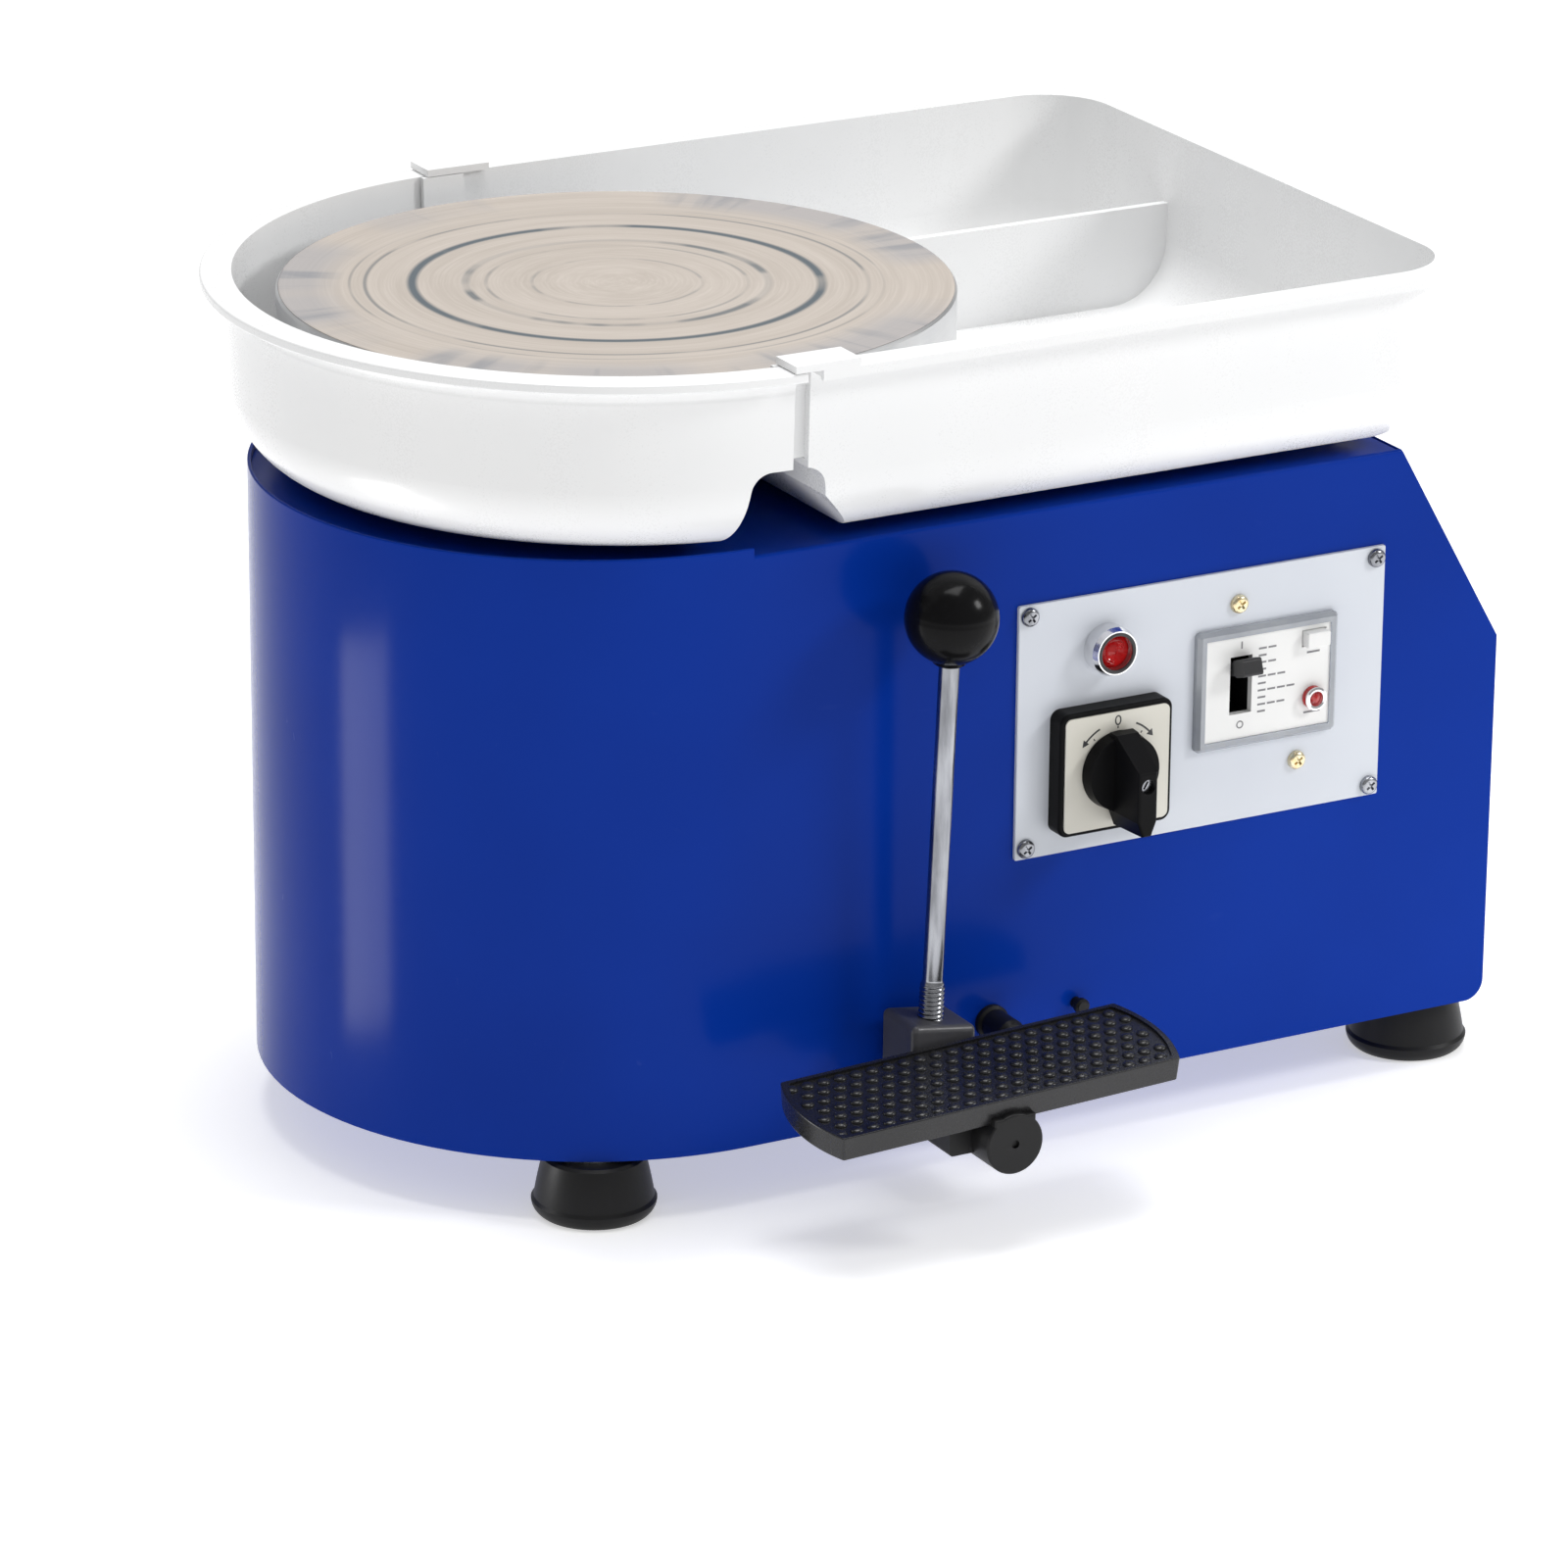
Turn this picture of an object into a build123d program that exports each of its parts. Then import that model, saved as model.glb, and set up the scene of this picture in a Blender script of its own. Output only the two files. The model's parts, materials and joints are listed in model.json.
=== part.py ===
"""Table-top pottery wheel: sheet-metal body, belt-driven wheel head, two-piece splash pan,
foot pedal and hand lever on one control shaft. Millimetres, +Z up, the potter sits at -Y."""

import os
from math import acos, atan, cos, degrees, pi, radians, sin, tan

from build123d import *

os.makedirs("parts", exist_ok=True)

# ---------------------------------------------------------------- driving dimensions
# X and Y are counted from the spindle's axis, Z from the floor, unless a name says otherwise.
HEAD_DIAMETER = 250.0
HEAD_TOP = 318.3
HEAD_SKIRT = 24.0

FOOT_HEIGHT = 24.0
FOOT_RADIUS = 23.2
FOOT_X = (-62.0, 292.0)
FOOT_Y = 101.0

BODY_HEIGHT = 227.3
BODY_RADIUS = 126.5
BODY_RIGHT = 309.5
ARC_X = -10.9
SLOPE_X = 46.0
SLOPE_Z = 80.0
SHEET = 1.5
BASE_SHEET = 2.0
SHELL_LIP = 3.0

RIM_TOP = 325.2
RIM_RADIUS = 152.8
PAN_RIGHT = 289.9
PAN_WALL = 2.6
PAN_FLOOR = 255.8
PAN_WALL_FLOOR = 141.0
PAN_WALL_RIM = 143.6
PAN_FILLET = 27.0
PAN_CORNER = 27.6
RIDGE_HEIGHT = 31.0
RIDGE_SHOULDER = 19.0
RIM_HUMP = 3.0

PULLEY_Z = 168.0
PULLEY_RADIUS = 65.0
MOTOR_X = 150.0
MOTOR_PULLEY_RADIUS = 16.0
PULLEY_WIDTH = 18.0
BELT_GAP = 0.3
BELT_THICKNESS = 2.4

PANEL_X = 177.6
PANEL_Z = 166.2
PANEL_WIDTH = 158.4
PANEL_HEIGHT = 98.6
PANEL_THICKNESS = 1.5

SWITCH_X = 136.3
SWITCH_Z = 149.6
LAMP_X = 135.4
LAMP_Z = 194.6
BREAKER_X = 204.5
BREAKER_Z = 170.4
BREAKER_WIDTH = 61.3
BREAKER_HEIGHT = 46.8

SHAFT_X = 54.0
SHAFT_Z = 42.0
SHAFT_RADIUS = 6.0
HUB_FRONT = -207.0
HUB_RADIUS = 11.6
PEDAL_Y = -181.6
PEDAL_TOP = 61.9
PEDAL_LENGTH = 139.8
PEDAL_WIDTH = 47.4
PEDAL_THICKNESS = 9.4
PEDAL_TILT = 2.2
PEDAL_PITCH = 6.0
BALL_RADIUS = 17.2
ROD_FOOT = (54.0, -144.5, 66.0)
BALL_CENTRE = (56.8, -150.5, 224.7)
BUMPER_X, BUMPER_Z = 90.2, 54.8
STUD_X, STUD_Z = 126.7, 55.6

GEAR_MODULE = 1.25
SECTOR_TEETH = 48
PINION_TEETH = 16
GEAR_Y = -100.0
GEAR_WIDTH = 6.0

# The origin is the middle of the whole object's box at floor level.
RIGHT_EXTENT = FOOT_X[1] + FOOT_RADIUS
SPINDLE_X = (RIM_RADIUS - RIGHT_EXTENT) / 2
SPINDLE_Y = (-HUB_FRONT - RIM_RADIUS) / 2

PLATE_TOP = FOOT_HEIGHT + BODY_HEIGHT
SHELL_BOTTOM = FOOT_HEIGHT + BASE_SHEET
FRONT = -BODY_RADIUS
PANEL_FACE = FRONT - PANEL_THICKNESS
PINION_Z = SHAFT_Z + GEAR_MODULE * (SECTOR_TEETH + PINION_TEETH) / 2 + 0.1


def level(z, x=0.0, y=0.0):
    """A horizontal plane at height z, its origin x and y away from the spindle."""
    return Plane((SPINDLE_X + x, SPINDLE_Y + y, z))


def facing_front(y, x=0.0, z=0.0):
    """An upright plane seen by the potter: local x is +X, local y is +Z, normal -Y."""
    return Plane((SPINDLE_X + x, SPINDLE_Y + y, z), x_dir=(1, 0, 0), z_dir=(0, -1, 0))


def facing_right(x, y=0.0, z=0.0):
    """An upright plane: local x is +Y, local y is +Z, normal +X."""
    return Plane((SPINDLE_X + x, SPINDLE_Y + y, z), x_dir=(0, 1, 0), z_dir=(1, 0, 0))


def upright_axis(x=0.0, y=0.0):
    """A vertical axis, x and y away from the spindle."""
    return Axis((SPINDLE_X + x, SPINDLE_Y + y, 0), (0, 0, 1))


def turned(points, x=0.0, y=0.0):
    """A closed outline of (radius, height) points turned about an upright axis."""
    with BuildPart() as ring:
        with BuildSketch(facing_front(y, x)):
            with BuildLine():
                Polyline(*points, close=True)
            make_face()
        revolve(axis=upright_axis(x, y))
    return ring.part


def gear_outline(teeth, phase, backlash=0.28):
    """The sketch of an involute spur gear of GEAR_MODULE, with one tooth at angle phase."""
    pitch = GEAR_MODULE * teeth / 2
    base = pitch * cos(radians(20))
    root, tip = pitch - 1.2 * GEAR_MODULE, pitch + 0.95 * GEAR_MODULE
    half = pi / (2 * teeth) - backlash / (2 * pitch)
    start = max(base, root)
    points = []
    for tooth in range(teeth):
        middle = phase + 2 * pi * tooth / teeth
        flank = []
        for step in range(4):
            radius = start + (tip - start) * step / 3
            pressure = acos(min(1.0, base / radius))
            spread = half - (tan(pressure) - pressure) + (tan(radians(20)) - radians(20))
            flank.append((radius, spread))
        if start > root:
            flank.insert(0, (root, flank[0][1]))
        points += [(r * cos(middle - a), r * sin(middle - a)) for r, a in flank]
        points += [(r * cos(middle + a), r * sin(middle + a)) for r, a in reversed(flank)]
    with BuildSketch() as gear:
        with BuildLine():
            Polyline(*points, close=True)
        make_face()
    return gear.sketch


# ---------------------------------------------------------------- body
def body_plan(inset=0.0):
    """Into the open sketch: the body's plan, a rectangle with a half-round left end."""
    length = BODY_RIGHT - ARC_X - inset
    with Locations((ARC_X, 0)):
        Circle(BODY_RADIUS - inset)
    with Locations((ARC_X + length / 2, 0)):
        Rectangle(length, 2 * (BODY_RADIUS - inset))


def body_side():
    """The sketch of the body's side, sloped at top right and rounded at bottom right."""
    with BuildSketch() as side:
        with BuildLine():
            Polyline(
                (ARC_X, FOOT_HEIGHT),
                (BODY_RIGHT, FOOT_HEIGHT),
                (BODY_RIGHT, PLATE_TOP - SLOPE_Z),
                (BODY_RIGHT - SLOPE_X, PLATE_TOP),
                (ARC_X, PLATE_TOP),
                close=True,
            )
        make_face()
        fillet(side.vertices().group_by(Axis.Y)[0].sort_by(Axis.X)[-1], 8)
    return side.sketch


with BuildPart() as curved_shell:
    with BuildSketch(level(SHELL_BOTTOM, ARC_X)):
        Circle(BODY_RADIUS)
        Circle(BODY_RADIUS - SHEET, mode=Mode.SUBTRACT)
        with Locations((BODY_RADIUS / 2, 0)):
            Rectangle(BODY_RADIUS, 2 * BODY_RADIUS, mode=Mode.SUBTRACT)
    extrude(amount=PLATE_TOP + SHELL_LIP - SHELL_BOTTOM)
    fillet(curved_shell.faces().sort_by(Axis.Z)[-1].edges().filter_by(GeomType.CIRCLE), 0.6)
curved_shell.part.label = "curved_shell"
export_step(curved_shell.part, "parts/curved_shell.step")

with BuildPart() as base_plate:
    with BuildSketch(level(FOOT_HEIGHT)):
        body_plan()
        with Locations(*[(x, y) for x in FOOT_X for y in (-FOOT_Y, FOOT_Y)]):
            Circle(4.2, mode=Mode.SUBTRACT)
        with GridLocations(60, 150, 2, 2):
            SlotOverall(40, 6, mode=Mode.SUBTRACT)
    extrude(amount=BASE_SHEET)
    with BuildSketch(facing_front(0)):
        with BuildLine():
            Polyline((-400, 0), (BODY_RIGHT, 0), (BODY_RIGHT, 60), (-400, 60), close=True)
        make_face()
        with Locations((BODY_RIGHT - 4, FOOT_HEIGHT + 4)):
            Rectangle(8, 8, mode=Mode.SUBTRACT)
        with Locations((BODY_RIGHT - 8, FOOT_HEIGHT + 8)):
            Circle(8)
    extrude(amount=BODY_RADIUS + 5, both=True, mode=Mode.INTERSECT)
base_plate.part.label = "base_plate"
export_step(base_plate.part, "parts/base_plate.step")

with BuildPart() as front_sheet:
    with BuildSketch(facing_front(FRONT + SHEET)):
        add(body_side())
    extrude(amount=SHEET)
    split(bisect_by=level(SHELL_BOTTOM), keep=Keep.TOP)
    fillet(front_sheet.edges().group_by(Axis.Z)[-1].sort_by(Axis.Y)[0], 1.2)
    with BuildSketch(facing_front(FRONT + SHEET)):
        with Locations((SWITCH_X, SWITCH_Z)):
            Rectangle(38, 38)
        with Locations((BREAKER_X, BREAKER_Z)):
            Rectangle(BREAKER_WIDTH - 3, BREAKER_HEIGHT - 3)
        with Locations((LAMP_X, LAMP_Z)):
            Circle(7.6)
        with Locations((SHAFT_X, SHAFT_Z)):
            Circle(9.0)
        with Locations((BUMPER_X, BUMPER_Z)):
            Circle(3.2)
        with Locations((STUD_X, STUD_Z)):
            Circle(2.2)
    extrude(amount=SHEET, mode=Mode.SUBTRACT)
front_sheet.part.label = "front_sheet"
export_step(front_sheet.part, "parts/front_sheet.step")

GLAND_X = 262.0
GLAND_Z = 62.0
with BuildPart() as back_sheet:
    with BuildSketch(facing_front(BODY_RADIUS)):
        add(body_side())
    extrude(amount=SHEET)
    split(bisect_by=level(SHELL_BOTTOM), keep=Keep.TOP)
    fillet(back_sheet.edges().group_by(Axis.Z)[-1].sort_by(Axis.Y)[-1], 1.2)
    with BuildSketch(facing_front(BODY_RADIUS)):
        with Locations((GLAND_X, GLAND_Z)):
            Circle(8.1)
        with Locations((MOTOR_X, 110)):
            with GridLocations(0, 14, 1, 7):
                SlotOverall(70, 5)
    extrude(amount=SHEET, mode=Mode.SUBTRACT)
back_sheet.part.label = "back_sheet"
export_step(back_sheet.part, "parts/back_sheet.step")

with BuildPart() as end_cover:
    with BuildSketch(facing_front(BODY_RADIUS - SHEET)):
        add(body_side())
        add(offset(body_side(), amount=-SHEET, mode=Mode.PRIVATE), mode=Mode.SUBTRACT)
        with Locations((ARC_X + 137, 150)):
            Rectangle(274, 300, mode=Mode.SUBTRACT)
    extrude(amount=2 * (BODY_RADIUS - SHEET))
    split(bisect_by=level(SHELL_BOTTOM), keep=Keep.TOP)
    with BuildSketch(facing_right(BODY_RIGHT - 20)):
        with Locations((0, 100)):
            with GridLocations(0, 14, 1, 7):
                SlotOverall(120, 5)
    extrude(amount=40, mode=Mode.SUBTRACT)
end_cover.part.label = "end_cover"
export_step(end_cover.part, "parts/end_cover.step")

HOUSING_BOLT_RADIUS = 42.0
with BuildPart() as top_plate:
    with BuildSketch(level(PLATE_TOP - SHEET)):
        plate_right = ARC_X + 274 - SHEET
        with Locations((ARC_X, 0)):
            Circle(BODY_RADIUS - SHEET - 0.1)
        with Locations(((ARC_X + plate_right) / 2, 0)):
            Rectangle(plate_right - ARC_X, 2 * (BODY_RADIUS - SHEET))
        Circle(26, mode=Mode.SUBTRACT)
        with PolarLocations(HOUSING_BOLT_RADIUS, 4, 45):
            Circle(3.3, mode=Mode.SUBTRACT)
    extrude(amount=SHEET)
top_plate.part.label = "top_plate"
export_step(top_plate.part, "parts/top_plate.step")

# Each foot is a rubber bell with a sharp ridge above its contact band.
FOOT_TOP = FOOT_HEIGHT - 1.4
FOOT_NAMES = ("foot_front_left", "foot_back_left", "foot_front_right", "foot_back_right")
for name, x, y in zip(FOOT_NAMES, (FOOT_X[0], FOOT_X[0], FOOT_X[1], FOOT_X[1]), (-FOOT_Y, FOOT_Y) * 2):
    with BuildPart() as foot:
        with BuildSketch(facing_front(y, x)):
            with BuildLine():
                Polyline((4.2, 8), (11, 8), (11, 0), (20.4, 0))
                ThreePointArc((20.4, 0), (22.3, 2.0), (FOOT_RADIUS, 5.2))
                Line((FOOT_RADIUS, 5.2), (22.2, 6.4))
                ThreePointArc((22.2, 6.4), (20.9, 13.5), (19.0, FOOT_TOP - 1))
                Polyline((19.0, FOOT_TOP - 1), (17.8, FOOT_TOP), (4.2, FOOT_TOP), (4.2, 8))
            make_face()
        revolve(axis=upright_axis(x, y))
    foot.part.label = name
    export_step(foot.part, f"parts/{name}.step")

with BuildPart() as foot_bolts:
    for x in FOOT_X:
        for y in (-FOOT_Y, FOOT_Y):
            with BuildSketch(level(3.0, x, y)):
                RegularPolygon(6.5, 6, major_radius=False)
            extrude(amount=5.0)
            with BuildSketch(level(8.0, x, y)):
                Circle(4.0)
            extrude(amount=FOOT_HEIGHT + 11 - 8.0)
            with BuildSketch(level(FOOT_TOP, x, y)):
                Circle(13)
                Circle(4.1, mode=Mode.SUBTRACT)
            extrude(amount=FOOT_HEIGHT - FOOT_TOP)
            with BuildSketch(level(SHELL_BOTTOM, x, y)):
                RegularPolygon(6.5, 6, major_radius=False)
                Circle(4.1, mode=Mode.SUBTRACT)
            extrude(amount=6.5)
foot_bolts.part.label = "foot_bolts"
export_step(foot_bolts.part, "parts/foot_bolts.step")

with BuildPart() as tray_pads:
    with BuildSketch(level(PLATE_TOP)):
        with Locations((-88, 0), (-58, -72), (-58, 72), (70, -88), (70, 88), (205, -88), (205, 88)):
            Circle(8)
    extrude(amount=PAN_FLOOR - PLATE_TOP - 0.1, taper=8)
tray_pads.part.label = "tray_pads"
export_step(tray_pads.part, "parts/tray_pads.step")

with BuildPart() as cable_gland:
    with BuildSketch(facing_front(BODY_RADIUS + 14, GLAND_X, GLAND_Z)):
        RegularPolygon(9.5, 6)
        Circle(4.0, mode=Mode.SUBTRACT)
    extrude(amount=8)
    with BuildSketch(facing_front(BODY_RADIUS + 6, GLAND_X, GLAND_Z)):
        RegularPolygon(11.5, 6)
        Circle(4.0, mode=Mode.SUBTRACT)
    extrude(amount=6)
    with BuildSketch(facing_front(BODY_RADIUS + 0.5, GLAND_X, GLAND_Z)):
        Circle(8.0)
        Circle(4.0, mode=Mode.SUBTRACT)
    extrude(amount=8)
    with BuildSketch(facing_front(BODY_RADIUS - SHEET, GLAND_X, GLAND_Z)):
        RegularPolygon(11.5, 6)
        Circle(8.0, mode=Mode.SUBTRACT)
    extrude(amount=5)
cable_gland.part.label = "cable_gland"
export_step(cable_gland.part, "parts/cable_gland.step")

# ---------------------------------------------------------------- control panel
PANEL_SCREWS = [(PANEL_X + i * (PANEL_WIDTH / 2 - 4.3), PANEL_Z + k * (PANEL_HEIGHT / 2 - 4.3))
                for i in (-1, 1) for k in (-1, 1)]
BREAKER_SCREWS = [(192.6, 202.4), (219.8, 136.7)]
SLOT_X, SLOT_Z = 192.8, 171.4
BUTTON_X, BUTTON_Z = 224.5, 185.2
LED_X, LED_Z = 224.3, 161.8
BREAKER_FACE = PANEL_FACE - 3.5

with BuildPart() as control_panel:
    with BuildSketch(facing_front(FRONT)):
        with Locations((PANEL_X, PANEL_Z)):
            RectangleRounded(PANEL_WIDTH, PANEL_HEIGHT, 0.8)
        with Locations((SWITCH_X, SWITCH_Z)):
            Rectangle(36, 36, mode=Mode.SUBTRACT)
        with Locations((BREAKER_X, BREAKER_Z)):
            Rectangle(BREAKER_WIDTH - 4, BREAKER_HEIGHT - 4, mode=Mode.SUBTRACT)
        with Locations((LAMP_X, LAMP_Z)):
            Circle(7.5, mode=Mode.SUBTRACT)
    extrude(amount=PANEL_THICKNESS)
    fillet(control_panel.edges().group_by(Axis.Y)[0].filter_by(GeomType.LINE).sort_by(Axis.Z)[-1], 0.4)
control_panel.part.label = "control_panel"
export_step(control_panel.part, "parts/control_panel.step")


def pan_head(x, y, z, radius, height):
    """A pan-head screw's head on an upright face at y, with a cross recess."""
    with BuildPart() as head:
        with BuildSketch(facing_front(y, x, z)):
            Circle(radius)
        extrude(amount=height)
        fillet(head.faces().sort_by(Axis.Y)[0].edges(), height * 0.7)
        with BuildSketch(facing_front(y - height * 0.5, x, z)):
            Rectangle(radius * 1.1, radius * 0.26, rotation=35)
            Rectangle(radius * 0.26, radius * 1.1, rotation=35)
        extrude(amount=height, mode=Mode.SUBTRACT)
    return head.part


with BuildPart() as panel_screws:
    for x, z in PANEL_SCREWS:
        add(pan_head(x, PANEL_FACE, z, 3.6, 2.2))
panel_screws.part.label = "panel_screws"
export_step(panel_screws.part, "parts/panel_screws.step")

with BuildPart() as breaker_screws:
    for x, z in BREAKER_SCREWS:
        add(pan_head(x, PANEL_FACE, z, 3.6, 2.2))
breaker_screws.part.label = "breaker_screws"
export_step(breaker_screws.part, "parts/breaker_screws.step")


def turned_forward(points, x, z):
    """A closed outline of (radius, distance in front of the spindle) points turned about an
    axis that runs from front to back."""
    with BuildPart() as ring:
        with BuildSketch(Plane((SPINDLE_X + x, SPINDLE_Y, z), x_dir=(1, 0, 0), z_dir=(0, 0, 1))):
            with BuildLine():
                Polyline(*points, close=True)
            make_face()
        revolve(axis=Axis((SPINDLE_X + x, SPINDLE_Y, z), (0, 1, 0)))
    return ring.part


with BuildPart() as lamp_bezel:
    bezel_outline = [(7.4, PANEL_FACE + 16), (7.4, PANEL_FACE), (9.4, PANEL_FACE),
                     (9.4, PANEL_FACE - 6.4), (8.4, PANEL_FACE - 8.6), (7.3, PANEL_FACE - 8.6),
                     (6.4, PANEL_FACE - 5.6), (6.4, PANEL_FACE + 16)]
    add(turned_forward(bezel_outline, LAMP_X, LAMP_Z))
lamp_bezel.part.label = "lamp_bezel"
export_step(lamp_bezel.part, "parts/lamp_bezel.step")

with BuildPart() as lamp_lens:
    lens_outline = [(0, PANEL_FACE), (6.3, PANEL_FACE), (6.3, PANEL_FACE - 6.0), (5.6, PANEL_FACE - 7.2),
                    (0, PANEL_FACE - 7.8)]
    add(turned_forward(lens_outline, LAMP_X, LAMP_Z))
lamp_lens.part.label = "lamp_lens"
export_step(lamp_lens.part, "parts/lamp_lens.step")

with BuildPart() as lamp_holder:
    add(turned_forward([(0, -112), (6.2, -112), (6.2, -90), (2.5, -90), (2.5, -84), (0, -84)],
                       LAMP_X, LAMP_Z))
lamp_holder.part.label = "lamp_holder"
export_step(lamp_holder.part, "parts/lamp_holder.step")

# The rotary switch: a square escutcheon, its dial plate, the cam stack behind and the handle,
# whose bar slopes down from its round skirt to its nose.
SWITCH_SIZE = 48.0
SWITCH_FACE = PANEL_FACE - 8.0
DIAL_FACE = SWITCH_FACE - 0.6
with BuildPart() as switch_base:
    with BuildSketch(facing_front(PANEL_FACE, SWITCH_X, SWITCH_Z)):
        RectangleRounded(SWITCH_SIZE, SWITCH_SIZE, 4)
    extrude(amount=8.0)
    fillet(switch_base.faces().sort_by(Axis.Y)[0].edges(), 1.2)
    with BuildSketch(facing_front(PANEL_FACE, SWITCH_X, SWITCH_Z)):
        Circle(4.0)
    extrude(amount=8.0, mode=Mode.SUBTRACT)
switch_base.part.label = "switch_base"
export_step(switch_base.part, "parts/switch_base.step")

with BuildPart() as switch_dial:
    with BuildSketch(facing_front(SWITCH_FACE, SWITCH_X, SWITCH_Z)):
        RectangleRounded(44.4, 44.4, 2.5)
        Circle(4.0, mode=Mode.SUBTRACT)
    extrude(amount=0.6)
switch_dial.part.label = "switch_dial"
export_step(switch_dial.part, "parts/switch_dial.step")

SWITCH_STACK = ((0, 11, 35), (11, 12, 32), (12, 23, 40), (23, 24, 37), (24, 35, 40), (35, 36, 37),
                (36, 47, 40), (47, 51, 32))
with BuildPart() as switch_body:
    for near, far, width in SWITCH_STACK:
        with BuildSketch(facing_front(PANEL_FACE + far, SWITCH_X, SWITCH_Z)):
            RectangleRounded(width, width, 3)
        extrude(amount=far - near)
    with BuildSketch(facing_front(PANEL_FACE + 45, SWITCH_X, SWITCH_Z)):
        Circle(4.0)
    extrude(amount=45, mode=Mode.SUBTRACT)
switch_body.part.label = "switch_body"
export_step(switch_body.part, "parts/switch_body.step")

KNOB_BACK = DIAL_FACE - 0.4
KNOB_FRONT = DIAL_FACE - 22.5
KNOB_NOSE = 4.6
with BuildPart() as switch_knob:
    with BuildSketch(facing_front(KNOB_BACK, SWITCH_X, SWITCH_Z)):
        Circle(15.2)
    extrude(amount=5.5, taper=6)
    with BuildSketch(facing_front(KNOB_BACK - 2, SWITCH_X, SWITCH_Z)):
        with BuildLine():
            Polyline((-4.9, 15.8), (4.9, 15.8), (4.9, -14.0), (2.4, -20.5), (-2.4, -20.5), (-4.9, -14.0),
                     close=True)
        make_face()
    extrude(amount=KNOB_BACK - 2 - KNOB_FRONT, taper=2.5)
    with BuildSketch(facing_right(SWITCH_X - 20)):
        with BuildLine():
            Polyline((KNOB_BACK - 6, SWITCH_Z + 15.8), (KNOB_FRONT - 1, SWITCH_Z + KNOB_NOSE),
                     (KNOB_FRONT - 1, SWITCH_Z + 30), (KNOB_BACK - 6, SWITCH_Z + 30), close=True)
        make_face()
    extrude(amount=40, mode=Mode.SUBTRACT)
    fillet(switch_knob.faces().sort_by(Axis.Y)[0].edges(), 1.2)
    with BuildSketch(facing_front(KNOB_BACK, SWITCH_X, SWITCH_Z)):
        Rectangle(5.2, 5.2)
    extrude(amount=14, mode=Mode.SUBTRACT)
    with BuildSketch(facing_front(KNOB_FRONT, SWITCH_X, SWITCH_Z)):
        Circle(2.9)
    extrude(amount=-4, mode=Mode.SUBTRACT)
switch_knob.part.label = "switch_knob"
export_step(switch_knob.part, "parts/switch_knob.step")

with BuildPart() as switch_spindle:
    with BuildSketch(facing_front(PANEL_FACE + 42, SWITCH_X, SWITCH_Z)):
        Rectangle(5.0, 5.0)
    extrude(amount=PANEL_FACE + 42 - KNOB_BACK + 13)
switch_spindle.part.label = "switch_spindle"
export_step(switch_spindle.part, "parts/switch_spindle.step")

with BuildPart() as knob_screw:
    with BuildSketch(facing_front(KNOB_FRONT + 4, SWITCH_X, SWITCH_Z)):
        Circle(2.7)
        Rectangle(3.2, 0.8, rotation=60, mode=Mode.SUBTRACT)
    extrude(amount=1.8)
knob_screw.part.label = "knob_screw"
export_step(knob_screw.part, "parts/knob_screw.step")

# The leakage breaker: case behind the panel, bevelled clear cover over a white face.
TOGGLE_PIVOT_Y = BREAKER_FACE + 20.0
with BuildPart() as breaker_case:
    with BuildSketch(facing_front(PANEL_FACE + 44, BREAKER_X, BREAKER_Z)):
        Rectangle(BREAKER_WIDTH - 5, BREAKER_HEIGHT - 5)
    extrude(amount=44)
    with BuildSketch(facing_front(PANEL_FACE, SLOT_X, SLOT_Z)):
        Rectangle(10.4, 23.0)
    extrude(amount=-30, mode=Mode.SUBTRACT)
    with BuildSketch(facing_front(PANEL_FACE, BUTTON_X, BUTTON_Z)):
        Rectangle(11.0, 7.0)
    extrude(amount=-10, mode=Mode.SUBTRACT)
breaker_case.part.label = "breaker_case"
export_step(breaker_case.part, "parts/breaker_case.step")

with BuildPart() as breaker_face:
    with BuildSketch(facing_front(PANEL_FACE, BREAKER_X, BREAKER_Z)):
        Rectangle(BREAKER_WIDTH - 7, BREAKER_HEIGHT - 7)
        with Locations((SLOT_X - BREAKER_X, SLOT_Z - BREAKER_Z)):
            Rectangle(9.6, 22.6, mode=Mode.SUBTRACT)
        with Locations((BUTTON_X - BREAKER_X, BUTTON_Z - BREAKER_Z)):
            Rectangle(10.6, 6.6, mode=Mode.SUBTRACT)
        with Locations((LED_X - BREAKER_X, LED_Z - BREAKER_Z)):
            Circle(3.6, mode=Mode.SUBTRACT)
    extrude(amount=2.8)
breaker_face.part.label = "breaker_face"
export_step(breaker_face.part, "parts/breaker_face.step")

with BuildPart() as breaker_frame:
    with BuildSketch(facing_front(PANEL_FACE, BREAKER_X, BREAKER_Z)):
        RectangleRounded(BREAKER_WIDTH, BREAKER_HEIGHT, 2.0)
        Rectangle(BREAKER_WIDTH - 6.8, BREAKER_HEIGHT - 6.8, mode=Mode.SUBTRACT)
    extrude(amount=3.5)
    front_loop = breaker_frame.faces().sort_by(Axis.Y)[0].outer_wire().edges()
    chamfer(front_loop, 1.5)
breaker_frame.part.label = "breaker_frame"
export_step(breaker_frame.part, "parts/breaker_frame.step")

TOGGLE_LEAN = 19.0
with BuildPart() as breaker_toggle:
    with BuildSketch(facing_right(SLOT_X - 4.1, TOGGLE_PIVOT_Y, SLOT_Z)):
        Circle(4.0)
        with Locations(Location((0, 0, 0), (0, 0, 180 - TOGGLE_LEAN))):
            with Locations((14, 0)):
                Rectangle(28, 5.0)
            with Locations((25.5, 0)):
                RectangleRounded(7.0, 6.6, 1.2)
    extrude(amount=8.2)
breaker_toggle.part.label = "breaker_toggle"
export_step(breaker_toggle.part, "parts/breaker_toggle.step")

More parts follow.
